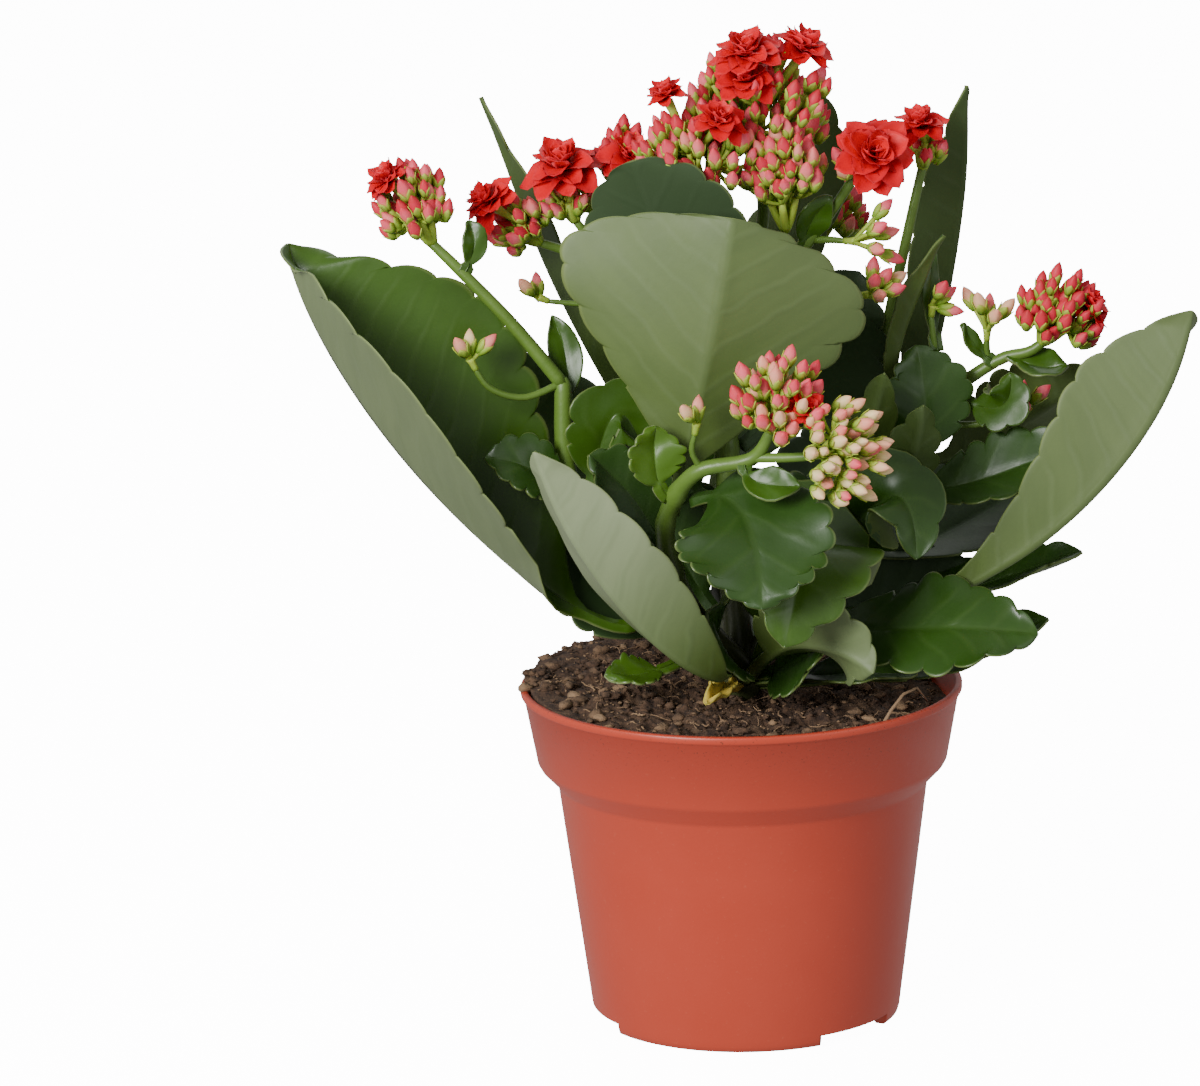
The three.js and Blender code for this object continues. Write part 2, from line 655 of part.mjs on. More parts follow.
// Flower clusters: the stalk they top, the way they face, half width and depth of the dome, and florets
// as [direction from the stalk's end, distance, radius]. A loose one has its pedicels on a small knob.
const CYMES = {
  far_left: {
    axis: [-0.3, -0.1, 1], wide: 10.5, deep: 24, buds: 15,
    florets: [[[-0.6, -0.2, 1], 22, 6.5]],
  },
  small_left: { axis: [0, -0.1, 1], deep: 11, buds: 3, loose: true },
  upper_left: {
    axis: [-0.6, -0.4, 0.8], wide: 9, deep: 17, buds: 8,
    florets: [[[-1, -0.5, 1], 20, 7.5]],
  },
  upper_mid: {
    axis: [-0.1, -0.2, 1], wide: 9, deep: 16, buds: 8,
    florets: [[[-0.15, -0.45, 1], 19, 10]],
  },
  upper_inner: {
    axis: [0.05, -0.1, 1], wide: 8, deep: 19, buds: 8,
    florets: [[[0.2, -0.6, 1], 13, 8.5]],
  },
  top_left: {
    axis: [-0.2, -0.25, 1], wide: 14, deep: 26, buds: 18,
    florets: [[[0.2, -0.6, 1], 27, 7]],
  },
  top_right: {
    axis: [0.12, 0, 1], wide: 17, deep: 35, buds: 22,
    florets: [[[-0.08, -0.4, 1], 37, 9], [[0.4, -0.15, 1], 37, 8]],
  },
  top_low: { axis: [-0.1, -0.5, 1], wide: 8, deep: 17, buds: 9, florets: [] },
  upper_right: {
    axis: [0.1, -0.5, 0.8], wide: 9, deep: 14, buds: 7,
    florets: [[[0.3, -0.8, 0.5], 14, 11]],
  },
  lower_right: { axis: [1, -0.3, 0.25], deep: 16, buds: 5, loose: true },
  under_right: { axis: [0.45, -0.4, 0.6], deep: 13, buds: 6, loose: true },
  outer_right: {
    axis: [0.1, -0.1, 1], wide: 6.5, deep: 12, buds: 5,
    florets: [[[-0.1, -0.3, 1], 13, 6.5]],
  },
  right_end: {
    axis: [0.35, -0.2, 0.8], wide: 13, deep: 21, buds: 15,
    florets: [[[1, -0.3, 0.9], 17, 6.5]],
  },
  right_small: { axis: [0.1, -0.1, 1], deep: 13, buds: 5, loose: true },
  right_inner: { axis: [0.7, -0.2, 0.5], deep: 11, buds: 3, loose: true },
  right_low: { axis: [0.2, -0.2, 0.9], deep: 12, buds: 5, loose: true },
  front: {
    axis: [0.1, -0.45, 0.9], wide: 13.5, deep: 22, buds: 15,
    florets: [[[0.7, -0.75, 0.6], 15, 5.5]],
  },
  front_right: { axis: [0.65, -0.7, 0.2], wide: 15, deep: 16, buds: 13, florets: [] },
  front_small: { axis: [0.1, -0.2, 1], deep: 10, buds: 2, loose: true },
  behind_left: { axis: [-0.1, 0, 1], deep: 10, buds: 2, loose: true },
  back_left: { axis: [-0.2, 0.3, 1], wide: 13, deep: 20, buds: 12, florets: [[[0, 0.5, 1], 20, 8]] },
  back_right: { axis: [0.2, 0.3, 1], wide: 13, deep: 20, buds: 12, florets: [[[0, 0.5, 1], 20, 8]] },
};

// Small leaves fused to the stalks: the stalk and place, the tip and the width.
const BRACTS = [
  { on: 'far_left', at: 0.62, path: [[-67, -13, 218], [-71, -12, 223]], up: [0.4, -0.9, 0.2], width: 8 },
  { on: 'right_end', at: 0.25, path: [[64, 2, 182], [61, 0, 190]], up: [0.3, -0.9, 0.2], width: 5 },
  { on: 'right_end', at: 0.4, path: [[80, -2, 176], [89, -3, 178.5]], up: [0.1, -0.5, 0.85], width: 13 },
  { on: 'upper_right', at: 0.55, path: [[20, -8, 222], [26, -10, 227]], up: [0.3, -0.9, 0.2], width: 10 },
  { on: 'right_inner', at: 0.5, path: [[51, 6, 202], [54, 7, 209]], up: [0.3, -0.9, 0.2], width: 6 },
  { on: 'left', at: 0.9, path: [[-43, -8, 182], [-49, -7, 196]], up: [0.1, -0.9, 0.3], width: 10 },
  { on: 'front', at: 0.8, path: [[0, -58, 158], [15, -60, 160]], up: [0, -0.8, 0.6], width: 11 },
];

function bractGeometry(bract) {
  const small = { ...SMALL, lobes: 1, petiole: 0.15, notch: 0.2, ...bract };
  return leafGeometry(small, STALKS[bract.on].curve.getPoint(bract.at));
}

// A direction at an angle theta from an axis, phi around it.
function aim(axis, theta, phi) {
  const helper = Math.abs(axis.y) < 0.9 ? new THREE.Vector3(0, 1, 0) : new THREE.Vector3(1, 0, 0);
  const first = helper.clone().addScaledVector(axis, -helper.dot(axis)).normalize();
  const second = axis.clone().cross(first);
  return axis.clone().multiplyScalar(Math.cos(theta))
    .addScaledVector(first, Math.sin(theta) * Math.cos(phi))
    .addScaledVector(second, Math.sin(theta) * Math.sin(phi));
}

// One layer of a floret: a star of pointed petals, thick in the middle and thin at their tips.
function layerGeometry(middle, face, radius, layer, twist) {
  const { petals, tilt, share, rise, drop, notch } = layer;
  const length = radius * share;
  const spot = (angle, reach) => {
    const out = aim(face, Math.PI / 2 - tilt, angle + twist);
    return middle.clone().addScaledVector(out, reach * length).toArray();
  };
  const positions = [
    ...middle.clone().addScaledVector(face, rise * length).toArray(),
    ...middle.clone().addScaledVector(face, -drop * length).toArray(),
  ];
  const triangles = [];
  for (let i = 0; i < 2 * petals; i += 1) {
    positions.push(...spot((i * Math.PI) / petals, i % 2 ? notch : 1));
    const [here, next] = [2 + i, 2 + ((i + 1) % (2 * petals))];
    triangles.push(0, here, next, 1, next, here);
  }
  return geometryOf(positions, triangles);
}

// A double floret: two layers of petals round a middle bud, on a pedicel from inside the core.
function floretPieces(root, middle, face, radius) {
  const foot = middle.clone().addScaledVector(face, -0.1 * radius);
  const bud = middle.clone().addScaledVector(face, 0.75 * radius);
  return [
    sweep([root, foot], [BUD.pedicel, 1], BUD.sides),
    ...PETAL_LAYERS.map((layer, i) => layerGeometry(middle, face, radius, layer, 0.4 * i)),
    sweep([middle, bud], [0.24 * radius, 0], BUD.sides),
  ];
}

// A group of a few buds on pedicels that meet in a knob on the stalk's end.
function looseCyme({ axis, deep, buds }, end, along, random) {
  const facing = vector(axis).normalize();
  const knob = end.clone().addScaledVector(along, 1.2);
  const pieces = [sweep([end, knob, knob.clone().addScaledVector(facing, 2.2)], [0.8, 2, 0], 5)];
  for (let i = 0; i < buds; i += 1) {
    const theta = LOOSE_SPREAD * Math.sqrt((i + 0.5) / buds);
    const way = aim(facing, theta, i * GOLDEN_ANGLE);
    const tip = knob.clone().addScaledVector(way, deep * (0.82 + 0.25 * random()));
    const base = tip.clone().addScaledVector(way, -BUD.length);
    const belly = tip.clone().addScaledVector(way, -0.5 * BUD.length);
    pieces.push(sweep([knob, base, belly, tip], [0.5, BUD.pedicel, BUD.radius, 0], BUD.sides));
  }
  return fuse(pieces);
}

// A dome of buds and florets on a core that they stand out of.
function denseCyme({ axis, wide, deep, buds, florets }, end, along, random) {
  const facing = vector(axis).normalize();
  const half = CORE.depth * deep;
  const middle = end.clone().addScaledVector(along, 1.5).addScaledVector(facing, half);
  const level = (share) => middle.clone().addScaledVector(facing, share * half);
  const radius = CORE.width * wide;
  const pieces = [sweep(
    [end, level(-0.7), level(0), level(0.7), level(1)],
    [1.2, 0.75 * radius, radius, 0.7 * radius, 0],
    CORE.sides,
  )];
  const places = florets.map(([way, distance, size]) => {
    const face = vector(way).normalize();
    return { face, size, centre: end.clone().addScaledVector(face, distance - 0.3 * size) };
  });
  for (const { face, size, centre } of places) pieces.push(...floretPieces(middle, centre, face, size));
  for (let i = 0; i < buds; i += 1) {
    const cosine = 1 - ((i + 0.5) / buds) * (1 - Math.cos(SPREAD));
    const way = aim(facing, Math.acos(cosine), i * GOLDEN_ANGLE + 0.4 * random());
    const forward = facing.clone().multiplyScalar(way.dot(facing));
    const outward = way.clone().sub(forward);
    const reach = 0.92 + 0.14 * random();
    const tip = middle.clone()
      .addScaledVector(forward, (deep - half) * reach)
      .addScaledVector(outward, wide * reach);
    if (places.some(({ centre, size }) => centre.distanceTo(tip) < 0.8 * size)) continue;
    const neck = middle.clone().lerp(tip, 0.42);
    const belly = tip.clone().lerp(neck, Math.min(0.45, (0.45 * BUD.length) / neck.distanceTo(tip)));
    pieces.push(sweep([neck, belly, tip], [0, BUD.radius, 0], BUD.sides));
  }
  return fuse(pieces);
}

function cymeGeometry(name, index) {
  const { curve } = STALKS[name];
  const along = curve.getTangent(1);
  const end = curve.getPoint(1).addScaledVector(along, GAP);
  const build = CYMES[name].loose ? looseCyme : denseCyme;
  return build(CYMES[name], end, along, draws(101 + 37 * index));
}

const group = new THREE.Group();

function place(name, geometry, colour, roughness) {
  const mesh = new THREE.Mesh(geometry, material(colour, roughness));
  mesh.name = name;
  group.add(mesh);
  return mesh;
}

place('pot', potGeometry(), COLOURS.pot, 0.45);
place('soil', soilGeometry(STALKS.trunk.radius[0] + GAP), COLOURS.soil, 0.95);
const growth = [...Object.values(STALKS).map(stalkGeometry), ...BRACTS.map(bractGeometry)];
const stems = place('stems', fuse(growth), COLOURS.stem, 0.5);
stems.material.side = THREE.DoubleSide; // so that a ray from inside a shoot meets its skin
for (const [name, leaf] of Object.entries(LEAVES)) {
  place(`leaf_${name}`, leafGeometry(leaf, leafRoot(leaf, stems)), leaf.colour ?? COLOURS.leaf, 0.4);
}
Object.keys(CYMES).forEach((name, index) => {
  place(`flowers_${name}`, cymeGeometry(name, index), COLOURS.bud, 0.45);
});

export default group;
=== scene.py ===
"""Looks of a potted kalanchoe with double red flowers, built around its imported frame.
"""

from math import acos, copysign, cos, hypot, log, pi, radians, sin, sqrt

import bpy
import numpy as np
from mathutils import Matrix, Vector
from mathutils.bvhtree import BVHTree


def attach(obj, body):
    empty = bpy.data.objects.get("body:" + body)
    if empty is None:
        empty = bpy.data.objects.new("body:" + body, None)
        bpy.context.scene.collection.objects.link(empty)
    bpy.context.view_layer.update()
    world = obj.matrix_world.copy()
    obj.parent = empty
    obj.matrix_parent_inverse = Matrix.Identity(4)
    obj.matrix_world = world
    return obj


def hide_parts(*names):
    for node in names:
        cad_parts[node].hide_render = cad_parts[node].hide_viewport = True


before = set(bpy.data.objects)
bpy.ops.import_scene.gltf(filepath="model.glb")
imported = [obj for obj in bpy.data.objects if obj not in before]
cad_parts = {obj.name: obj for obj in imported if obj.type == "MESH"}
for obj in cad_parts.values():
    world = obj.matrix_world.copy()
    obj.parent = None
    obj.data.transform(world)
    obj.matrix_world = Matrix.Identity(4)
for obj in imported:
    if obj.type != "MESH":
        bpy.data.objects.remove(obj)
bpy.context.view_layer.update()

MM = 0.001
GOLDEN_ANGLE = radians(137.508)
GAP = 0.3

# The camera stands at the height and distance of the photograph, and looks along +Y.
CAMERA = {
    "aim": (-37.5, 0, 131.7), "distance": 1731, "elevation": 13.2, "roll": -1.245,
    "sensor": 36, "lens": 192.2,
}

# Most of the shapes below are those of the solids, in the same order.
POT = {
    "height": 92.4, "rim": 60, "lip": 2.2, "collar_top": 59.2, "collar_foot": 55.8,
    "collar_foot_height": 71.4, "body_top": 50.35, "body_top_height": 65.9, "foot": 41.7,
    "wall": 1.4, "foot_ring": 3, "floor": 4, "ease": 0.4,
}
NOTCH = {"count": 3, "first": -45, "span": 36, "height": 3}
DRAIN = {"count": 6, "radius": 4, "circle": 24}
SOIL = {"level": 88.5, "heap": 11, "dip": 6, "lumps": 0.9}
# How close together the clods on the soil are, and how high, from large to small.
CLODS = ((0.34, 0.8), (0.9, 0.7), (1.7, 0.5), (3.1, 0.35))
CRUMBS = 1900
FIBRES = 150
# Loose crumbs of soil on the rim at the back left.
LOOSE = {"count": 160, "first": 108, "span": 78, "height": 92.6, "lift": 2.6}
# A bare root that arches out of the soil at the right front.
ROOT = ((33, -46, 86), (35.5, -45.5, 90), (38.5, -43.5, 94.5), (42, -40, 98), (46, -35, 98.5), (49, -28, 93))
ROOT_RADII = (0.6, 0.5, 0.45, 0.4, 0.3, 0.2)
# Thick shoots are green above this height and turn dark brown below it, partly their real woody base and
# partly painted shade deep inside the plant. All swell where a leaf grows.
WOODY_AND_SHADE = {"height": 158, "over": 44, "radius": 3}
KNUCKLE = {"swell": 0.35, "reach": 2.2}
LEAF = {"rib": 1.7, "margin": 0.75, "petiole": 2.1, "tip": 1.1, "stalk_thick": 2.6}
# How far apart the veins leave the midrib, and how far forward they run for each step out.
VEIN_PITCH = 9.5
VEIN_SLANT = 0.75
BUD_LENGTH = 8
LOOSE_BUD_RADIUS = 1.75

# Radius at the foot and at the tip, then the points of the line.
STALKS = {
    "trunk": ((5.2, 4.6), (0, 0, 61), (0, 0, 80), (0, 0, 99)),
    "left": ((3.8, 2.3), (-2, 0, 96), (-22, -5, 109), (-40, -12, 132), (-46, -16, 156), (-46.5, -16, 181)),
    "centre": ((4.2, 2.4), (0, 0, 96), (-2, 2, 130), (-3, 3, 165), (-4, 3, 188)),
    "right": ((4, 2.2), (2, 0, 97), (19, 2, 117), (39, 4, 145), (52, 5, 163), (61, 4, 175)),
    "front": (
        (3.6, 1.4), (0, -2, 97), (-11, -18, 113), (-18, -32, 130), (-20, -41, 147), (-12, -51, 162),
        (3, -54.5, 166.5), (8, -58, 175),
    ),
    "front_right": ((1.4, 1.1), (2, -54.4, 166.4), (13, -58, 167), (22, -62, 168.5)),
    "back": ((3.8, 2), (0, 2, 98), (-4, 16, 116), (-4, 30, 145), (4, 38, 172)),
    "far_left": ((2, 1.3), (-46.5, -16, 179), (-60, -15.5, 196), (-74, -14, 211), (-81, -13, 218)),
    "small_left": ((1, 0.8), (-46.5, -16, 179.5), (-57, -20, 176.5), (-66, -23, 180), (-70, -24, 186)),
    "upper_left": ((1.9, 1.2), (-5, 3, 185), (-20, 9, 199), (-40, 12, 208), (-53, 10, 213)),
    "upper_mid": ((1.5, 1.1), (-20, 9, 198), (-34, 13, 208), (-43, 12, 219)),
    "upper_inner": ((1.5, 1.1), (-20, 9, 198), (-26, 14, 212), (-29, 15, 226)),
    "top_left": ((1.9, 1.3), (-4, 2, 186), (-3, -5, 206), (-4, -11, 220), (-8, -13, 229)),
    "top_right": ((2, 1.4), (-3, 3, 186), (5, 2, 206), (8, 0, 222), (6.5, -1, 234)),
    "top_low": ((1.3, 1.1), (3, 2, 202), (10, -5, 210), (14, -10, 219)),
    "upper_right": ((1.9, 1.3), (-3, 2, 184), (10, 0, 202), (21.5, -5, 216), (33, -10, 233.5)),
    "lower_right": ((1.1, 0.8), (21.5, -5, 214.5), (26, -8, 215), (30, -11, 215)),
    "under_right": ((1.1, 0.8), (12, -1, 204), (24, -7, 201), (34, -10, 200)),
    "outer_right": ((1.8, 1.2), (39, 4, 143), (40, 8, 180), (47, 5, 215), (51, 4, 233)),
    "right_end": ((1.8, 1.3), (61, 4, 173), (72, 2, 180), (79, 0, 182), (83, -1, 185)),
    "right_small": ((1, 0.8), (68, 3, 178.5), (67.5, 2, 183), (67.5, 1, 186)),
    "right_inner": ((1, 0.8), (59, 4, 172), (54, 2, 182), (52.5, 1, 193)),
    "right_low": ((1.1, 0.8), (52, 5, 162), (64, 1, 162), (74, 1, 164)),
    "front_small": ((0.9, 0.7), (-10, -51, 162), (-13, -53, 168), (-12, -55, 174)),
    "behind_left": ((0.9, 0.7), (-20, 9, 198.5), (-38, 8, 196), (-51, 8, 197)),
    "back_left": ((1.8, 1.2), (-3, 31, 146), (-16, 42, 176), (-26, 48, 199)),
    "back_right": ((1.8, 1.2), (4, 38, 170), (16, 44, 188), (24, 50, 204)),
}

LEAF_DEFAULTS = {
    "petiole": 0.16, "lobes": 4, "smooth": 0.28, "widest": 0.52, "fullness": 0.7, "notch": 1.8, "fold": 20,
    "curl": 0, "wave": 0, "waves": 2.5, "pale": False, "bare": 0, "slanted": 0, "bright": 0,
}
SMALL = {"lobes": 3, "petiole": 0.2, "notch": 1.4}
TINY = {"lobes": 1, "petiole": 0.15, "notch": 0.2, "bright": 0.35}


def leaf(on, at, path, up, width, **more):
    """A leaf by the stalk it grows on and its place there, the points of its midrib, and how it faces.

    A positive bright value makes a leaf lighter than the common green; a negative one darkens it, painted
    shade for leaves that lie in the plant's shade. A pale leaf gains that lightness from its foot to its tip,
    leaving painted shade at its foot.
    Bare is the hand, -1 or 1, on which the notches are shallow.
    """
    return {**LEAF_DEFAULTS, "on": on, "at": at, "path": path, "up": up, "width": width, **more}


# A negative bright value darkens a leaf as painted shade, for leaves lying in shade deep in the plant or at
# its back.
LEAVES = {
    "big_left": leaf(
        "left", 0.3, [(-45, -12, 104), (-114, -18, 177), (-118.6, -10, 217.7)], (0.66, -0.5, 0.56), 90,
        fold=54, lobes=6, petiole=0.1, notch=1.7, widest=0.6, bright=0.4),
    "big_front": leaf(
        "front", 0.49, [(-15, -38, 160), (-7, -50, 195), (-1, -44, 228)], (-0.05, 0.95, 0.15), 88, fold=12,
        curl=6, petiole=0.14, notch=2.6, widest=0.75, fullness=0.42,
        pale=True, bare=-1, slanted=1, bright=0.15),
    "big_right": leaf(
        "right", 0.16, [(64, -33, 117), (110, -34, 150), (120, -24, 197)], (-0.35, 0.78, 0.5), 48,
        fold=42, lobes=6, petiole=0.22, notch=0.9, widest=0.7, pale=True, bright=0.2),
    "front_left": leaf(
        "front", 0.117, [(6, -48, 95), (-34, -64, 112), (-54, -62, 171)], (0.35, 0.72, 0.6), 36,
        fold=34, lobes=5, petiole=0.2, notch=0.8, pale=True, bright=0.7),
    "front_glossy": leaf(
        "front", 0.583, [(4, -56, 162), (4, -73, 130)], (0.1, -0.75, 0.66), 44,
        fold=6, curl=10, lobes=5, wave=1.4, petiole=0.14, bright=-0.25),
    "front_under": leaf(
        "trunk", 0.92, [(25, -38, 172), (10, -62, 117)], (0.2, -0.8, 0.56), 44,
        fold=8, curl=8, lobes=5, bright=0.4),
    "front_low": leaf(
        "trunk", 0.86, [(12, -42, 122), (34, -51, 107)], (-0.1, 0.9, 0.42), 34,
        fold=14, petiole=0.34, pale=True, bright=0.3),
    "right_low": leaf(
        "right", 0.1, [(42, -40, 118), (78, -41, 114)], (0.05, -0.66, 0.75), 34,
        fold=8, lobes=5, wave=1.4, petiole=0.24),
    "right_out": leaf(
        "right", 0.2, [(52, 6, 108), (92.7, 0, 126.5)], (-0.3, -0.3, 0.9), 24, fold=26, petiole=0.3),
    "right_under": leaf(
        "trunk", 0.8, [(46, -2, 92), (83, -8, 110)], (-0.2, -0.4, 0.9), 26, fold=16, petiole=0.3),
    "right_dark": leaf("right", 0.6, [(54, -7, 164), (48, -3, 185)], (0.2, -0.9, 0.3), 27, fold=8),
    "right_round": leaf(
        "right", 0.91, [(75, -10, 163), (73, -8, 178)], (0, -0.9, 0.3), 15, **SMALL, bright=0.3),
    "right_pale": leaf(
        "right", 0.42, [(34, -12, 158), (39, -20, 181)], (0.1, 0.95, 0.2), 14,
        **SMALL, pale=True, bright=-0.2),
    "right_front": leaf("right", 0.24, [(46, -28, 170), (46, -37, 134)], (0.3, -0.9, 0.3), 28),
    "right_striped": leaf("right", 0.5, [(64, -14, 146), (92, -12, 160)], (0, -0.6, 0.8), 26),
    "right_behind": leaf("right", 0.6, [(72, 18, 150), (97, 14, 174)], (0.1, 0.8, 0.5), 34),
    "tall_right": leaf(
        "right", 0.48, [(56, 30, 165), (63, 28, 208), (63.5, 18, 251.5)], (-0.8, 0.45, 0.2), 28,
        fold=36, lobes=5, petiole=0.14, notch=1.1, pale=True, bright=-0.6),
    "narrow_right": leaf(
        "right", 0.64, [(37, -4, 182), (56, -2, 214.5)], (-0.7, 0.3, 0.6), 11,
        fold=30, lobes=3, petiole=0.2, notch=0.6, pale=True, bright=-0.1),
    "tall_left": leaf(
        "centre", 0.4, [(-34, 20, 158), (-54, 32, 212), (-67, 32, 249)], (0.9, 0.2, 0.4), 24,
        lobes=5, pale=True, bright=-0.4),
    "behind_front": leaf(
        "centre", 0.72, [(-8, -26, 188), (-27, -28, 241)], (0.2, 0.85, 0.4), 46,
        fold=10, lobes=5, widest=0.66, fullness=0.5, pale=True, bright=-1.1),
    "left_striped": leaf("left", 0.66, [(-52, -28, 160), (-67.5, -27, 162)], (-0.1, -0.7, 0.7), 20, **SMALL),
    "left_inner": leaf("left", 0.65, [(-34, -22, 186), (-26, -16, 162)], (0.1, -0.9, 0.35), 24, bright=0.3),
    "left_dark": leaf("front", 0.35, [(-26, -26, 150), (-40, -32, 163)], (0.2, -0.8, 0.5), 26, bright=-0.3),
    "front_bright": leaf(
        "front", 0.572, [(-24, -49, 158), (-22.5, -47, 174)], (0.3, -0.9, 0.2), 18, **SMALL, bright=0.9),
    "soil_left": leaf(
        "left", 0.15, [(-22, -19, 98), (-37, -24, 101)], (0, -0.5, 0.85), 14,
        lobes=3, petiole=0.4, notch=1.4, bright=0.6),
    "top_behind": leaf(
        "centre", 0.86, [(12, 36, 196), (28, 34, 232), (22, 24, 250)], (0, 0.9, 0.3), 26,
        pale=True, bright=-0.3),
    "centre_behind": leaf("centre", 0.58, [(18, 12, 168), (34, 15, 202)], (0, -0.8, 0.5), 44, bright=-0.7),
    "right_inner": leaf(
        "right", 0.4, [(46, -18, 146), (49, -24, 173)], (0, 0.9, 0.4), 18, pale=True, bright=-0.4),
    "soil_right": leaf(
        "trunk", 0.84, [(22, -14, 97), (47, -18, 98)], (0, -0.3, 0.95), 20, lobes=3, petiole=0.3, notch=1.4),
    "back_left": leaf("left", 0.5, [(-52, 20, 136), (-66, 40, 180)], (0.5, -0.4, 0.7), 56, fold=24),
    "back_out_left": leaf("back", 0.3, [(-34, 40, 118), (-62, 62, 152)], (0.4, -0.5, 0.75), 56, fold=22),
    "back_middle": leaf("back", 0.6, [(0, 64, 140), (2, 76, 190)], (0, -0.8, 0.5), 60),
    "back_out_right": leaf(
        "back", 0.3, [(30, 52, 120), (54, 70, 158)], (-0.4, -0.5, 0.75), 52, fold=22, bright=-0.5),
    "back_low": leaf("trunk", 0.84, [(8, 38, 98), (26, 70, 112)], (0, -0.3, 0.95), 40, fold=16, petiole=0.3),
    "back_right": leaf(
        "right", 0.34, [(56, 22, 120), (90, 30, 146)], (-0.3, -0.5, 0.8), 42, fold=18, bright=-0.7),
}
# Small leaves deep between the shoots, darkened as painted shade. The first is a withered one on the soil.
INNER_LEAVES = [
    leaf(
        "trunk", 0.82, [(-4, -14, 95), (-10, -31, 94.5)], (0.3, -0.4, 0.9), 9,
        fold=40, lobes=3, wave=1.2, bright=2),
    leaf("centre", 0.14, [(-14, 8, 118), (-26, 4, 150)], (0.2, -0.9, 0.3), 38, bright=-0.3),
    leaf("centre", 0.24, [(16, 12, 122), (36, 10, 142)], (-0.1, -0.85, 0.4), 40, bright=-0.3),
    leaf("trunk", 0.93, [(-6, -16, 99), (-9, -36, 121)], (0, -0.7, 0.7), 30, bright=-0.3),
    leaf("trunk", 0.9, [(14, -12, 97), (25, -30, 112)], (-0.2, -0.7, 0.7), 32, bright=-0.3),
    leaf("centre", 0.45, [(-18, -4, 146), (-24, -12, 172)], (0, -0.9, 0.3), 30, bright=-0.3),
    leaf("left", 0.16, [(-32, 4, 108), (-50, 6, 137)], (0.2, -0.85, 0.4), 34, bright=-0.8),
    leaf("right", 0.12, [(36, 8, 108), (63, 10, 122)], (-0.2, -0.8, 0.5), 30, bright=-0.8),
]
BRACTS = [
    leaf("far_left", 0.62, [(-67, -13, 218), (-71, -12, 223)], (0.4, -0.9, 0.2), 8, **TINY),
    leaf("right_end", 0.25, [(64, 2, 182), (61, 0, 190)], (0.3, -0.9, 0.2), 5, **TINY),
    leaf("right_end", 0.4, [(80, -2, 176), (89, -3, 178.5)], (0.1, -0.5, 0.85), 13, **TINY),
    leaf("upper_right", 0.55, [(20, -8, 222), (26, -10, 227)], (0.3, -0.9, 0.2), 10, **TINY),
    leaf("right_inner", 0.5, [(51, 6, 202), (54, 7, 209)], (0.3, -0.9, 0.2), 6, **TINY),
    leaf("left", 0.9, [(-43, -8, 182), (-49, -7, 196)], (0.1, -0.9, 0.3), 10, **TINY),
    leaf("front", 0.8, [(0, -58, 158), (15, -60, 160)], (0, -0.8, 0.6), 11, **TINY),
]

# How ripe the buds are (0 cream, 1 red), axis, half width (0 for a loose group), depth, number that sets
# how many buds there are, and each floret's way, distance and radius.
CYMES = {
    "far_left": (0.6, (-0.3, -0.1, 1), 10.5, 24, 15, ((-0.6, -0.2, 1), 22, 6.5)),
    "small_left": (0.25, (0, -0.1, 1), 0, 11, 3),
    "upper_left": (0.65, (-0.6, -0.4, 0.8), 9, 17, 8, ((-1, -0.5, 1), 20, 7.5)),
    "upper_mid": (0.7, (-0.1, -0.2, 1), 9, 16, 8, ((-0.15, -0.45, 1), 19, 10)),
    "upper_inner": (0.95, (0.05, -0.1, 1), 8, 19, 8, ((0.2, -0.6, 1), 13, 8.5)),
    "top_left": (
        0.6, (-0.2, -0.25, 1), 16.5, 26, 24, ((0.2, -0.6, 1), 27, 7), ((-0.35, -0.2, 1), 31, 5.5)),
    "top_right": (
        0.7, (0.12, 0, 1), 20, 35, 32, ((-0.08, -0.4, 1), 37, 9), ((0.4, -0.15, 1), 37, 8),
        ((-0.1, -0.45, 0.9), 30, 8)),
    "top_low": (0.5, (-0.15, -0.3, 1), 12.5, 30, 17),
    "upper_right": (0.6, (0.1, -0.5, 0.8), 9, 14, 7, ((0.3, -0.8, 0.5), 14, 11)),
    "lower_right": (0.6, (1, -0.3, 0.25), 0, 16, 5),
    "under_right": (0.4, (0.45, -0.4, 0.6), 0, 13, 6),
    "outer_right": (0.9, (0.1, -0.1, 1), 6.5, 12, 5, ((-0.1, -0.3, 1), 13, 6.5)),
    "right_end": (1.15, (0.35, -0.2, 0.8), 13, 21, 15, ((1, -0.3, 0.9), 17, 6.5)),
    "right_small": (0.4, (0.1, -0.1, 1), 0, 13, 5),
    "right_inner": (0.6, (0.7, -0.2, 0.5), 0, 11, 3),
    "right_low": (0.55, (0.2, -0.2, 0.9), 0, 12, 5),
    "front": (0.45, (0.1, -0.45, 0.9), 13.5, 22, 15, ((0.7, -0.75, 0.6), 15, 5.5)),
    "front_right": (0.05, (0.65, -0.7, 0.2), 15, 16, 13),
    "front_small": (0.1, (0.1, -0.2, 1), 0, 10, 2),
    "behind_left": (0.3, (-0.1, 0, 1), 0, 10, 2),
    "back_left": (0.7, (-0.2, 0.3, 1), 13, 20, 12, ((0, 0.5, 1), 20, 8)),
    "back_right": (0.7, (0.2, 0.3, 1), 13, 20, 12, ((0, 0.5, 1), 20, 8)),
}


def vec(values):
    return np.array(values, float)


def unit(values):
    values = vec(values)
    return values / np.linalg.norm(values)


def draws(seed):
    """The same minimal generator as in the solids, from 0 to 1."""
    state = seed
    while True:
        state = (state * 16807) % 2147483647
        yield state / 2147483647


def smoothstep(low, high, x):
    t = np.clip((x - low) / (high - low), 0, 1)
    return t * t * (3 - 2 * t)


# Pieces


def ring_faces(rows, sides, flip=False):
    """Quads between closed rings of points."""
    i, j = np.meshgrid(np.arange(rows - 1), np.arange(sides), indexing="ij")
    i, j = i.ravel(), j.ravel()
    k = (j + 1) % sides
    quads = np.stack([i * sides + j, i * sides + k, (i + 1) * sides + k, (i + 1) * sides + j], 1)
    return quads[:, ::-1] if flip else quads


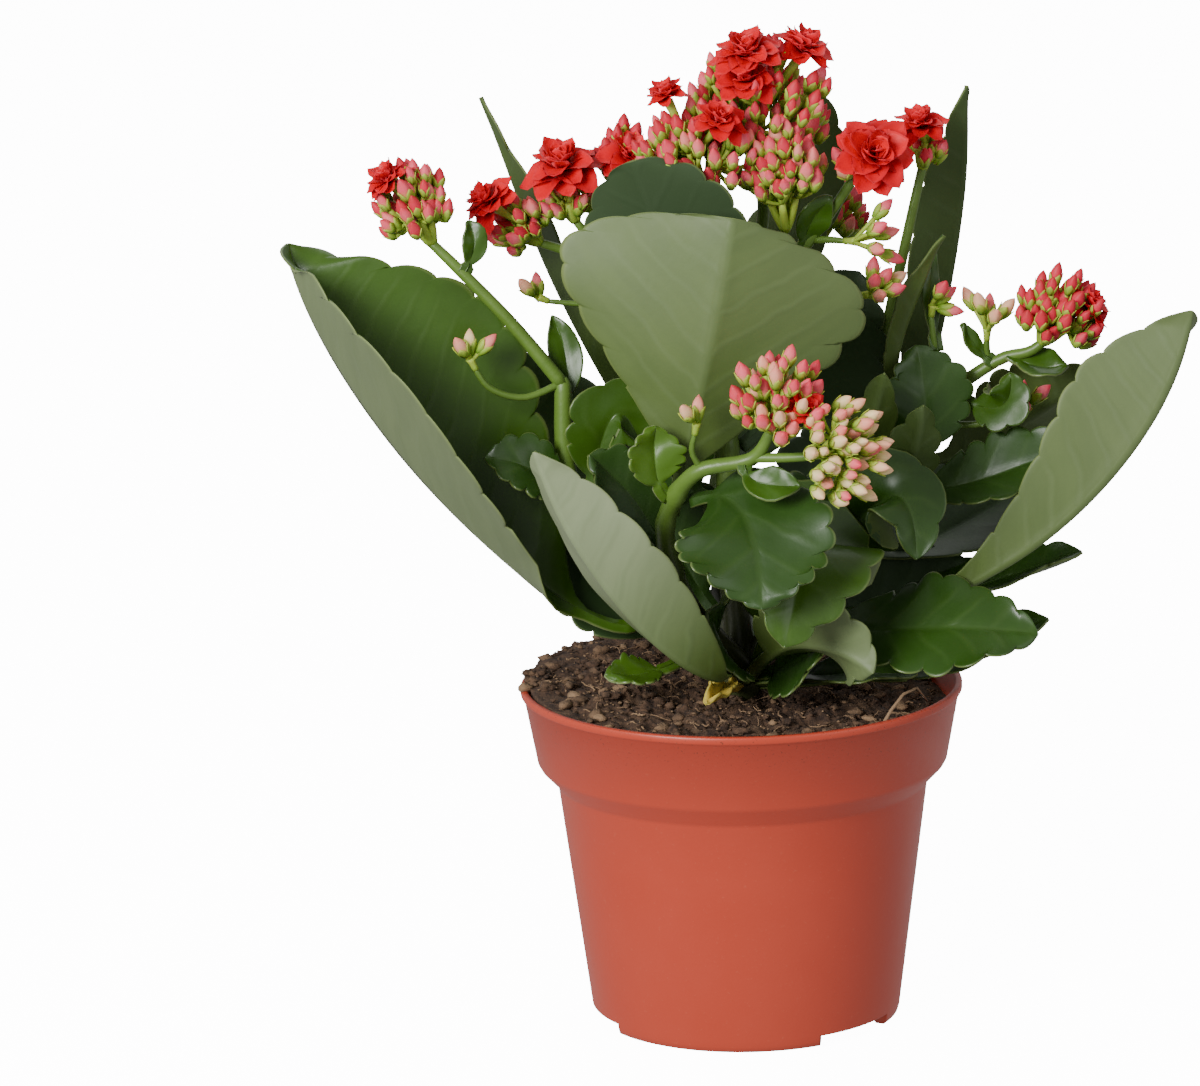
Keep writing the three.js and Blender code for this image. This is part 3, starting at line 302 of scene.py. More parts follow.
def closed_faces(rows, sides, flip=False):
    """Quads between closed rings of points, and a face over each end."""
    end = np.arange(sides)
    first, last = (end, end[::-1]) if flip else (end[::-1], end)
    return [ring_faces(rows, sides, flip), first, last + (rows - 1) * sides]


class Piece:
    """Collects points, faces and point attributes, and makes one mesh object from them."""

    def __init__(self, name):
        self.name = name
        self.count = 0
        self.points = []
        self.faces = []
        self.values = {}

    def add(self, points, faces, **values):
        points = np.asarray(points, float)
        self.points.append(points)
        self.faces.extend(np.asarray(face) + self.count for face in faces)
        for key, value in values.items():
            value = np.broadcast_to(np.asarray(value, float), points.shape)
            self.values.setdefault(key, []).append(value)
        self.count += len(points)

    def finish(self, slot, *nodes):
        mesh = bpy.data.meshes.new(self.name)
        points = np.concatenate(self.points) * MM
        faces = [face for group in self.faces for face in np.atleast_2d(group).tolist()]
        mesh.from_pydata(points.tolist(), [], faces)
        for key, values in self.values.items():
            attribute = mesh.attributes.new(key, "FLOAT_VECTOR", "POINT")
            attribute.data.foreach_set("vector", np.concatenate(values).astype(np.float32).ravel())
        mesh.polygons.foreach_set("use_smooth", [True] * len(mesh.polygons))
        mesh.materials.append(MATERIALS[slot])
        mesh.update()
        piece = bpy.data.objects.new(self.name, mesh)
        bpy.context.scene.collection.objects.link(piece)
        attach(piece, "root")
        if nodes:
            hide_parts(*nodes)
        return piece


def frames_along(points):
    """Two cross directions at each point of a path, turned as little as possible."""
    tangents = np.gradient(points, axis=0)
    tangents /= np.linalg.norm(tangents, axis=1)[:, None]
    across = vec([0, 0, 1]) if abs(tangents[0][2]) < 0.9 else vec([1, 0, 0])
    sides = []
    for tangent in tangents:
        across = unit(across - tangent * (across @ tangent))
        sides.append(across)
    sides = np.array(sides)
    return sides, np.cross(tangents, sides)


def tube(points, radii, sides=10):
    """Points and faces of a round tube along a path, closed at both ends."""
    points = np.asarray(points, float)
    radii = np.asarray(radii, float)
    first, second = frames_along(points)
    angles = np.arange(sides) * 2 * pi / sides
    ring = (np.cos(angles)[None, :, None] * first[:, None] + np.sin(angles)[None, :, None] * second[:, None])
    skin = (points[:, None] + ring * radii[:, None, None]).reshape(-1, 3)
    count = len(skin)
    last = count - sides
    around = np.arange(sides)
    after = (around + 1) % sides
    faces = [
        ring_faces(len(points), sides),
        np.stack([np.full(sides, count), after, around], 1),
        np.stack([np.full(sides, count + 1), last + around, last + after], 1),
    ]
    return np.concatenate([skin, points[[0, -1]]]), faces


def along_tube(sides, *values):
    """Point values for a tube from those of its rings."""
    values = np.stack(values, 1)
    return np.concatenate([np.repeat(values, sides, axis=0), values[[0, -1]]])


# Curves, as the solids use them


class Spline:
    """A centripetal Catmull-Rom curve through points."""

    def __init__(self, points):
        self.points = vec(points)

    def point(self, t):
        points, last = self.points, len(self.points) - 1
        place = last * t
        i = min(int(place), last - 1)
        w = place - i
        p1, p2 = points[i], points[i + 1]
        p0 = points[i - 1] if i > 0 else 2 * points[0] - points[1]
        p3 = points[i + 2] if i + 2 <= last else 2 * points[last] - points[last - 1]
        d0, d1, d2 = (sqrt(np.linalg.norm(b - a)) for a, b in ((p0, p1), (p1, p2), (p2, p3)))
        m1 = ((p1 - p0) / d0 - (p2 - p0) / (d0 + d1) + (p2 - p1) / d1) * d1
        m2 = ((p2 - p1) / d1 - (p3 - p1) / (d1 + d2) + (p3 - p2) / d2) * d1
        c2 = -3 * p1 + 3 * p2 - 2 * m1 - m2
        c3 = 2 * p1 - 2 * p2 + m1 + m2
        return p1 + m1 * w + c2 * w * w + c3 * w ** 3

    def tangent(self, t):
        low, high = max(t - 1e-4, 0), min(t + 1e-4, 1)
        return unit(self.point(high) - self.point(low))


class Bezier:
    """A Bezier curve walked by its length."""

    def __init__(self, points):
        self.points = [vec(p) for p in points]
        self.ts = np.linspace(0, 1, 201)
        steps = np.linalg.norm(np.diff(self.at(self.ts), axis=0), axis=1)
        self.lengths = np.concatenate([[0], np.cumsum(steps)])
        self.length = self.lengths[-1]

    def at(self, t):
        """Repeated interpolation between the control points."""
        t = np.asarray(t, float)[..., None]
        points = [p + 0 * t for p in self.points]
        while len(points) > 1:
            points = [a + (b - a) * t for a, b in zip(points, points[1:])]
        return points[0]

    def walk(self, u):
        """Points and tangents at shares of the length."""
        t = np.interp(np.asarray(u) * self.length, self.lengths, self.ts)
        step = 1e-4
        ahead = self.at(np.minimum(t + step, 1)) - self.at(np.maximum(t - step, 0))
        return self.at(t), ahead / np.linalg.norm(ahead, axis=1)[:, None]


CURVES = {name: Spline(line) for name, (_, *line) in STALKS.items()}


def tree_of(names):
    """A search tree over the skins of some of the solids."""
    points, faces = [], []
    for name in names:
        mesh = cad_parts[name].data
        faces += [[k + len(points) for k in polygon.vertices] for polygon in mesh.polygons]
        points += [vertex.co / MM for vertex in mesh.vertices]
    return BVHTree.FromPolygons(points, faces)


STEMS_TREE = tree_of(["stems"])
LEAVES_TREE = tree_of([f"leaf_{name}" for name in LEAVES])


# Materials


class Shader:
    """A node material with short calls for the nodes that the recipes use."""

    def __init__(self, name):
        self.material = bpy.data.materials.new(name)
        self.material.use_nodes = True
        self.nodes = self.material.node_tree.nodes
        self.links = self.material.node_tree.links
        self.surface = self.nodes["Principled BSDF"]

    def node(self, kind, *values, **settings):
        """A node with its first sockets linked or set."""
        node = self.nodes.new(kind)
        for key, value in settings.items():
            setattr(node, key, value)
        for value, socket in zip(values, node.inputs):
            self.link(value, socket)
        return node

    def link(self, value, socket):
        if isinstance(value, bpy.types.NodeSocket):
            self.links.new(value, socket)
        else:
            socket.default_value = value

    def split(self, vector):
        return self.node("ShaderNodeSeparateXYZ", vector).outputs

    def attribute(self, name):
        """The three numbers of a point attribute."""
        return self.split(self.node("ShaderNodeAttribute", attribute_name=name).outputs["Vector"])

    def math(self, operation, *values):
        return self.node("ShaderNodeMath", *values, operation=operation).outputs[0]

    def times(self, *values):
        return self.math("MULTIPLY", *values)

    def combine(self, *values):
        return self.node("ShaderNodeCombineXYZ", *values).outputs[0]

    def position(self):
        return self.node("ShaderNodeTexCoord").outputs["Object"]

    def noise(self, scale, detail=3, roughness=0.5, vector=None):
        node = self.node("ShaderNodeTexNoise")
        vector = vector or self.position()
        for socket, value in (
            ("Scale", scale), ("Detail", detail), ("Roughness", roughness), ("Vector", vector),
        ):
            self.link(value, node.inputs[socket])
        return node.outputs["Fac"]

    def step(self, value, low, high, to_low=0, to_high=1):
        return self.node(
            "ShaderNodeMapRange", value, low, high, to_low, to_high, interpolation_type="SMOOTHSTEP",
        ).outputs[0]

    def mix(self, factor, a, b):
        node = self.node("ShaderNodeMix", factor, data_type="RGBA")
        for value, socket in ((a, node.inputs[6]), (b, node.inputs[7])):
            self.link((*value, 1) if isinstance(value, tuple) else value, socket)
        return node.outputs[2]

    def bump(self, height, distance, strength=1, before=None):
        node = self.node("ShaderNodeBump", strength, distance)
        self.link(height, node.inputs["Height"])
        if before:
            self.link(before, node.inputs["Normal"])
        return node.outputs[0]

    def done(self, colour, roughness, normal=None, **fixed):
        for value, socket in ((colour, "Base Color"), (roughness, "Roughness"), (normal, "Normal")):
            if value is not None:
                self.link(value, self.surface.inputs[socket])
        for socket, value in fixed.items():
            self.surface.inputs[socket.replace("_", " ")].default_value = value
        return self.material


def leaf_material():
    """Glossy dark green above, matte grey-green below, with pinnate veins, a light margin, and painted shade
    that darkens leaves lying in shade.
    """
    s = Shader("leaf")
    across, along, under = s.attribute("leaf_place")
    reach, bright, seed = s.attribute("leaf_kind")
    far = s.math("ABSOLUTE", across)
    place = s.math("DIVIDE", s.math("MULTIPLY_ADD", far, -VEIN_SLANT, along), VEIN_PITCH)
    place = s.math("ADD", s.math("ADD", place, s.times(s.noise(60, 2), 0.9)), seed)
    streak = s.noise(2.2, 2, 0.5, s.combine(place, s.times(far, 0.02), seed))
    wave = s.math("ABSOLUTE", s.math("SUBTRACT", s.math("FRACT", place), 0.5))
    vein = s.times(s.step(wave, 0.32, 0.5), s.step(reach, 0.98, 0.5))
    rib = s.times(s.step(far, 1.5, 0.35), s.step(reach, 0.9, 0.2))
    lines = s.math("MAXIMUM", vein, rib)
    patch = s.noise(45, 4, 0.6)
    top = s.mix(patch, (0.012, 0.038, 0.003), (0.034, 0.095, 0.007))
    top = s.mix(s.times(bright, 0.65), top, (0.09, 0.19, 0.006))
    top = s.mix(s.times(lines, 0.08), top, (0.12, 0.2, 0.05))
    bottom = s.mix(patch, (0.054, 0.096, 0.009), (0.086, 0.134, 0.021))
    bottom = s.mix(bright, bottom, (0.29, 0.34, 0.2))
    bottom = s.mix(s.times(lines, 0.12), bottom, (0.16, 0.22, 0.1))
    is_under = s.step(under, 0.4, 0.6)
    colour = s.mix(is_under, top, bottom)
    colour = s.mix(s.step(streak, 0.3, 0.7, 0.1, 0), colour, (0.02, 0.04, 0.008))
    # Below zero the bright value paints shade onto leaves in the plant's shade; above 1.2 it gives a withered
    # leaf its own colour.
    painted_shade, withered = s.times(bright, -0.85), s.step(bright, 1.2, 1.6)
    colour = s.mix(painted_shade, colour, (0.02, 0.045, 0.012))
    colour = s.mix(withered, colour, (0.62, 0.45, 0.07))
    colour = s.mix(s.times(s.step(reach, 0.955, 1), 0.4), colour, (0.24, 0.3, 0.09))
    rough = s.math("MULTIPLY_ADD", is_under, 0.22, s.step(patch, 0.2, 0.8, 0.28, 0.42))
    rough = s.math("ADD", rough, s.step(bright, -0.35, -0.7, 0, 0.25))
    normal = s.bump(s.noise(420, 3, 0.6), 0.00012, 0.35)
    normal = s.bump(lines, -0.0001, 0.5, normal)
    return s.done(colour, rough, normal, Specular_IOR_Level=0.5)


def stem_material():
    s = Shader("stem")
    _, woody_and_shade, _ = s.attribute("stem_place")
    patch = s.noise(90, 4, 0.6)
    green = s.mix(patch, (0.07, 0.14, 0.018), (0.14, 0.24, 0.035))
    # The dark brown lower shoots are partly real woody bark and partly painted shade inside the plant.
    brown = s.mix(patch, (0.018, 0.026, 0.007), (0.05, 0.055, 0.016))
    streak = s.noise(700, 2)
    return s.done(s.mix(woody_and_shade, green, brown), s.step(patch, 0.2, 0.8, 0.34, 0.5), s.bump(streak, 0.0002, 0.4))


def flower_material():
    """Green sepals and stalks, buds from cream to coral and red, and red petals with pink margins, dark at
    their base as painted shade in the floret's heart.
    """
    s = Shader("flower")
    along, stage, kind = s.attribute("flower_place")
    patch = s.noise(300, 3)
    edge, lift, _ = s.attribute("petal_place")
    green = s.mix(along, (0.17, 0.33, 0.025), (0.46, 0.56, 0.08))
    young = s.mix(s.step(along, 0.3, 0.7), (0.6, 0.62, 0.16), (0.9, 0.72, 0.36))
    young = s.mix(s.step(along, 0.7, 1), young, (0.92, 0.55, 0.32))
    pink = s.mix(s.step(along, 0.3, 0.65), (0.62, 0.52, 0.14), (0.93, 0.14, 0.2))
    pink = s.mix(s.step(along, 0.65, 1), pink, (0.85, 0.035, 0.09))
    ripe = s.mix(s.step(along, 0.2, 0.5), (0.6, 0.16, 0.09), (0.7, 0.015, 0.055))
    ripe = s.mix(s.step(along, 0.6, 1), ripe, (0.5, 0.003, 0.018))
    bud = s.mix(s.step(stage, 0, 0.5), young, pink)
    bud = s.mix(s.step(stage, 0.5, 1), bud, ripe)
    bud = s.mix(s.times(patch, 0.1), bud, (0.7, 0.35, 0.25))
    # Each petal is dark at its base, painted shade deep in the floret, and red towards its tip.
    petal = s.mix(s.step(along, 0.1, 0.7), (0.18, 0, 0.002), (0.72, 0, 0.008))
    petal = s.mix(s.times(s.step(patch, 0.3, 0.8), 0.35), petal, (0.85, 0.001, 0.02))
    petal = s.mix(s.times(edge, 0.12), petal, (0.95, 0.14, 0.17))
    petal = s.mix(s.times(lift, 0.3), petal, (0.9, 0.04, 0.07))
    colour = s.mix(s.step(kind, 0.4, 0.6), green, bud)
    colour = s.mix(s.step(kind, 1.4, 1.6), colour, petal)
    rough = s.step(patch, 0.2, 0.8, 0.42, 0.56)
    return s.done(colour, rough, s.bump(patch, 0.0002, 0.3), Specular_IOR_Level=0.25,
                  Subsurface_Weight=0.1, Subsurface_Scale=0.002, Subsurface_Radius=(1, 0.2, 0.15))


def pot_material():
    s = Shader("terracotta_plastic")
    cloud = s.noise(28, 5, 0.6)
    speck = s.noise(900, 3, 0.7)
    dust = s.noise(1500, 2, 0.7)
    colour = s.mix(cloud, (0.45, 0.047, 0.021), (0.51, 0.062, 0.031))
    colour = s.mix(s.step(speck, 0.62, 0.75, 0, 0.3), colour, (0.56, 0.14, 0.08))
    near_rim = s.step(s.split(s.position())[2], 0.076, 0.092)
    dirt = s.times(s.step(dust, 0.63, 0.7), near_rim)
    colour = s.mix(s.times(dirt, 0.7), colour, (0.06, 0.03, 0.015))
    rough = s.step(cloud, 0.2, 0.8, 0.32, 0.46)
    return s.done(colour, rough, s.bump(speck, 0.00008, 0.4), Specular_IOR_Level=0.5)


def soil_material():
    s = Shader("peat")
    _, tone, _ = s.attribute("soil_place")
    grain = s.noise(500, 5, 0.7)
    patch = s.noise(120, 4, 0.6)
    colour = s.mix(s.step(grain, 0.3, 0.7), (0.022, 0.012, 0.008), (0.12, 0.065, 0.036))
    colour = s.mix(s.step(patch, 0.5, 0.75, 0, 0.6), colour, (0.2, 0.12, 0.065))
    colour = s.mix(tone, colour, (0.32, 0.2, 0.11))
    return s.done(colour, 0.95, s.bump(grain, 0.001, 0.9))


MATERIALS = {
    "leaf_green": leaf_material(), "stem_green": stem_material(), "flower": flower_material(),
    "terracotta": pot_material(), "soil": soil_material(),
}


# Pot


def pot_profile():
    """Outline from the middle of the floor's underside round to its top, with eased edges."""
    p, ease = POT, POT["ease"]
    rim, height, foot, wall, ring = p["rim"], p["height"], p["foot"], p["wall"], p["foot_ring"]
    collar, collar_height, body, body_height = (
        p["collar_foot"], p["collar_foot_height"], p["body_top"], p["body_top_height"])
    low, high = (foot + ease, 1.6), (body - 0.06, body_height - 1)
    heights = (low[1], 3.3, 3.8, 5, 12, 30, 50)
    side = [(float(np.interp(z, (low[1], high[1]), (low[0], high[0]))), z) for z in heights]
    return vec([
        (0.01, p["floor"]), (foot - ring - 3, p["floor"]), (foot - ring, 0.3), (foot - ring + 0.3, 0),
        (foot - ease, 0), (foot, 0.3), *side, high, (body + 0.4, body_height + 0.1),
        (collar - 0.7, collar_height - 0.9), (collar, collar_height + 0.4),
        (p["collar_top"] - 0.05, height - p["lip"] - 0.2), (rim - 0.2, height - p["lip"] + 0.1),
        (rim, height - p["lip"] + 0.5), (rim, height - 0.5), (rim - 0.15, height - 0.15), (rim - 0.5, height),
        (rim - ease - wall + 0.3, height), (rim - ease - wall, height - 0.3),
        (collar - wall, collar_height + 0.8), (body - wall, body_height + 0.8),
        (foot - wall + 0.6, p["floor"] + wall), (0.01, p["floor"] + wall),
    ])


def make_pot():
    sides = 180
    profile = pot_profile()
    angles = np.arange(sides) * 2 * pi / sides
    points = np.zeros((len(profile), sides, 3))
    points[..., :2] = profile[:, None, :1] * np.stack([np.cos(angles), np.sin(angles)], 1)[None]
    points[..., 2] = profile[:, 1:]
    piece = Piece("pot_shell")
    piece.add(points.reshape(-1, 3), [ring_faces(len(profile), sides)])
    pot = piece.finish("terracotta", "pot")
    cutters = []
    outer, inner = POT["foot"] + 3, POT["foot"] - POT["foot_ring"] - 1
    for i in range(NOTCH["count"]):
        middle = radians(NOTCH["first"] + 360 * i / NOTCH["count"])
        half = radians(NOTCH["span"] / 2)
        arc = np.linspace(middle - half, middle + half, 13)
        outline = [(r * cos(a), r * sin(a)) for r, way in ((outer, arc), (inner, arc[::-1])) for a in way]
        cutters.append((outline, -1, NOTCH["height"]))
    for i in range(DRAIN["count"]):
        middle = 2 * pi * i / DRAIN["count"]
        centre = DRAIN["circle"] * vec([cos(middle), sin(middle)])
        outline = [tuple(centre + DRAIN["radius"] * vec([cos(a), sin(a)])) for a in np.arange(24) * pi / 12]
        cutters.append((outline, 0, 12))
    for outline, low, high in cutters:
        cut = Piece("cutter")
        cut.add([(x, y, z) for z in (low, high) for x, y in outline], closed_faces(2, len(outline)))
        cutter = cut.finish("terracotta")
        hollow = pot.modifiers.new("cut", "BOOLEAN")
        hollow.operation = "DIFFERENCE"
        hollow.object = cutter
        bpy.context.view_layer.objects.active = pot
        bpy.ops.object.modifier_apply(modifier=hollow.name)
        bpy.data.objects.remove(cutter)
    pot.data.polygons.foreach_set("use_smooth", [True] * len(pot.data.polygons))
    with bpy.context.temp_override(object=pot, active_object=pot, selected_editable_objects=[pot]):
        bpy.ops.object.shade_auto_smooth(angle=radians(32))


# Soil


def inner_radius(z):
    low = POT["foot"] - POT["wall"] + 0.6
    top = POT["body_top"] - POT["wall"]
    floor, shoulder = POT["floor"] + POT["wall"], POT["body_top_height"] + 0.8
    share = (z - floor) / (shoulder - floor)
    if share <= 1:
        return low + (top - low) * share
    foot, foot_height = POT["collar_foot"] - POT["wall"], POT["collar_foot_height"] + 0.8
    collar = POT["rim"] - POT["ease"] - POT["wall"]
    return foot + (collar - foot) * (z - foot_height) / (POT["height"] - foot_height)


def soil_height(x, y):
    rim = POT["rim"]
    reach = np.hypot(x, y) / rim
    side = (-0.8 * x + 0.6 * y) / rim
    heap = SOIL["heap"] * np.maximum(0, side) * (1 - 0.45 * reach * reach)
    dip = SOIL["dip"] * np.maximum(0, -side) * reach
    front = 1.8 * np.maximum(0, -y / rim)
    lumps = np.sin(0.31 * x + 1.3) * np.sin(0.27 * y + 0.4) + 0.6 * np.sin(0.53 * x - 0.47 * y)
    return SOIL["level"] + heap - dip + front + SOIL["lumps"] * lumps * (1 - reach ** 4)


def rough_ground(x, y):
    """Small clods on top of the soil's height."""
    clods = np.zeros_like(x)
    for k, (size, lift) in enumerate(CLODS):
        turn = 1.3 * k + 0.4
        u = x * cos(turn) - y * sin(turn)
        v = x * sin(turn) + y * cos(turn)
        wide = np.sin(size * u + 2.1 * np.sin(0.43 * size * v + k))
        clods += lift * (wide * np.sin(size * v + 1.7 * np.sin(0.37 * size * u)))
    return clods


def make_soil():
    piece = Piece("soil_bed")
    rings, sectors = 90, 220
    angles = np.arange(sectors) * 2 * pi / sectors
    edge = inner_radius(SOIL["level"] + 1) - 0.1
    shares = np.linspace(0.001, 1, rings)[:, None]
    x, y = edge * shares * np.cos(angles), edge * shares * np.sin(angles)
    rows = [np.stack([x, y, soil_height(x, y) + rough_ground(x, y) * (1 - shares ** 8)], -1)]
    shoulder = POT["body_top_height"] + 0.8
    for height in (POT["collar_foot_height"] + 0.9, shoulder, 40, 20, POT["floor"] + POT["wall"] + 0.1):
        radius = inner_radius(height) - 0.15
        level = np.full(sectors, float(height))
        rows.append(np.stack([radius * np.cos(angles), radius * np.sin(angles), level], -1)[None])
    rows = np.concatenate(rows)
    piece.add(rows.reshape(-1, 3), closed_faces(len(rows), sectors, flip=True), soil_place=(0, 0, 0))
    piece.finish("soil", "soil")
    random = draws(77)
    crumbs = Piece("soil_crumbs")
    for _ in range(CRUMBS):
        angle, radius = 2 * pi * next(random), (edge - 2) * sqrt(next(random))
        x, y = radius * cos(angle), radius * sin(angle)
        size = 0.3 + 1.6 * next(random) ** 6
        ground = float(soil_height(x, y) + rough_ground(vec(x), vec(y)))
        crumb(crumbs, vec([x, y, ground + 0.2 + 0.3 * size]), size, random)
    for _ in range(FIBRES):
        angle, radius = 2 * pi * next(random), (edge - 4) * sqrt(next(random))
        fibre(crumbs, radius * cos(angle), radius * sin(angle), 2 + 5 * next(random) ** 2, random)
    for _ in range(LOOSE["count"]):
        angle = radians(LOOSE["first"] + LOOSE["span"] * next(random))
        radius = edge - 4 + 5 * next(random)
        heap = LOOSE["height"] + LOOSE["lift"] * next(random) * sin(radians(180 * next(random)))
        centre = vec([radius * cos(angle), radius * sin(angle), heap])
        crumb(crumbs, centre, 0.6 + 1.5 * next(random) ** 3, random)
    crumbs.add(*tube(ROOT, ROOT_RADII, 7), soil_place=(0, 0.9, 0))
    crumbs.finish("soil")


def crumb(piece, centre, size, random):
    """An uneven lump of peat."""
    rows, sides = 4, 6
    points = []
    roll, long = 2 * pi * next(random), 1 + 0.9 * next(random)
    for i in range(rows):
        tilt = pi * (i + 0.5) / rows
        for k in range(sides):
            turn = 2 * pi * (k + 0.5 * i) / sides
            reach = size * (0.55 + 0.8 * next(random))
            a, b = long * sin(tilt) * cos(turn), sin(tilt) * sin(turn)
            way = vec([a * cos(roll) - b * sin(roll), a * sin(roll) + b * cos(roll), 0.7 * cos(tilt)])
            points.append(centre + reach * way)
    piece.add(points, closed_faces(rows, sides, flip=True), soil_place=(0, next(random) ** 3, 0))


def fibre(piece, x, y, length, random):
    """A thin strand lying on the soil."""
    turn = 2 * pi * next(random)
    bend = 1.5 * (next(random) - 0.5)
    points = []
    for _ in range(7):
        points.append((x, y, float(soil_height(x, y)) + 0.75 + 0.5 * next(random)))
        x += length / 6 * cos(turn)
        y += length / 6 * sin(turn)
        turn += bend / 3
    if max(hypot(px, py) for px, py, _ in points) > inner_radius(SOIL["level"]) - 1:
        return
    skin, faces = tube(points, [0.14 + 0.12 * next(random)] * 7, 5)
    piece.add(skin, faces, soil_place=(0, 0.45 + 0.5 * next(random), 0))


# Stems


def leaf_root(leaf):
    """Just off the skin of the leaf's shoot, on the side that the leaf grows to."""
    curve, at = CURVES[leaf["on"]], leaf["at"]
    centre, along = curve.point(at), curve.tangent(at)
    toward = vec(leaf["path"][0]) - centre
    outward = unit(toward - along * (toward @ along))
    start = unit(toward)
    up = vec(leaf["up"])
    facing = unit(up - start * (up @ start))
    side = np.cross(facing, start)
    slant = LEAF["petiole"] * abs(side @ outward) + 0.5 * LEAF["stalk_thick"] * abs(facing @ outward)
    skin = STEMS_TREE.ray_cast(Vector(centre), Vector(outward))[3]
    return centre + outward * (skin + GAP + slant)


def make_stems():
    piece = Piece("plant_stems")
    sides = 14
    for name, ((foot, tip), *line) in STALKS.items():
        length = np.linalg.norm(np.diff(line, axis=0), axis=1).sum()
        share = np.linspace(0, 1, max(8, int(length / 2)))
        radii = foot + (tip - foot) * share
        for leaf in LEAVES.values():
            if leaf["on"] == name:
                away = (share - leaf["at"]) * length
                radii = radii + KNUCKLE["swell"] * np.exp(-(away / KNUCKLE["reach"]) ** 2)
        radii = radii * (1 - 0.5 * np.exp(-((1 - share) * length / 1.2) ** 2))
        points = np.array([CURVES[name].point(t) for t in share])
        woody_and_shade = np.clip((WOODY_AND_SHADE["height"] - points[:, 2]) / WOODY_AND_SHADE["over"], 0, 1) * (foot > WOODY_AND_SHADE["radius"])
        skin, faces = tube(points, radii, sides)
        piece.add(skin, faces, stem_place=along_tube(sides, share, woody_and_shade, 0 * share))
    piece.finish("stem_green", "stems")
    bracts = Piece("plant_bracts")
    for i, bract in enumerate(BRACTS):
        add_leaf(bracts, bract, CURVES[bract["on"]].point(bract["at"]), 60 + i)
    bracts.finish("leaf_green")


# Leaves

# How much wider the right half of a slanted leaf is than its left, from its foot to its tip.
SLANT = ((0, 0.3, 0.5, 0.68, 0.85, 1), (0, 0.02, 0.07, 0, -0.16, -0.3))
LOBE_STEPS = (0, 0.03, 0.08, 0.16, 0.28, 0.42, 0.58, 0.72, 0.84, 0.92, 0.97)
REACHES = (0, 0.05, 0.12, 0.22, 0.34, 0.46, 0.58, 0.7, 0.8, 0.88, 0.94, 0.975, 1)
NOTCH_DEPTH = 1.4


def plain_width(u, leaf):
    """Half the width along a leaf before its edge is cut."""
    base = leaf["petiole"]
    b = np.clip((u - base) / (1 - base), 0, 1)
    power = log(0.5) / log(leaf["widest"])
    full = np.sin(pi * np.minimum(b, 0.9999) ** power) ** leaf["fullness"]
    start = LEAF["petiole"] * np.maximum(0, 1 - b / 0.12)
    half = np.maximum(np.maximum(leaf["width"] / 2 * full, start), LEAF["tip"] * smoothstep(1.02, 0.96, u))
    return np.where(u <= base, LEAF["petiole"], half)


def leaf_outline(leaf, length):
    """Stations along a leaf, with the half width, the lean of the outline and the lobes passed at each."""
    base, smooth = leaf["petiole"], leaf["smooth"]
    fine = np.linspace(base, 1, 800)
    half = plain_width(fine, leaf)
    arc = np.concatenate([[0], np.cumsum(np.hypot(np.diff(fine) * length, np.diff(half)))])
    start = np.interp(base + (1 - base) * smooth, fine, arc)
    pitch = (1 - base) * (1 - smooth) * length / leaf["lobes"]
    lobes = max(leaf["lobes"], round((arc[-1] - start) / pitch))
    passed = vec([i + step for i in range(lobes) for step in LOBE_STEPS] + [lobes])
    lobed = np.interp(start + (arc[-1] - start) * passed / lobes, arc, fine)
    plain = np.concatenate([np.linspace(0, base, 6)[:-1], base + (1 - base) * np.linspace(0, smooth, 9)[:-1]])
    u = np.concatenate([plain, lobed])
    lean = np.arctan(np.interp(u, fine, np.gradient(half, fine * length)))
    return u, plain_width(u, leaf), lean, np.concatenate([0 * plain, passed])


def notch_depth(leaf, half, passed, wobble):
    """Scallops with sharp notches between them, each a little different."""
    cut = NOTCH_DEPTH * leaf["notch"] * (1 - np.abs(np.sin(pi * passed)) ** 0.6)
    deeper = 1 + 0.35 * np.sin(5.3 * np.round(passed) + wobble)
    return np.where(passed > 0, cut * deeper * np.minimum(1, half / 8), 0)


def half_section(length, start, end):
    """How far out and up a half blade reaches when its slope goes evenly from one angle to another."""
    bend = np.where(np.abs(end - start) < 1e-6, 1e-6, end - start)
    out = length * (np.sin(start + bend) - np.sin(start)) / bend
    return out, length * (np.cos(start) - np.cos(start + bend)) / bend


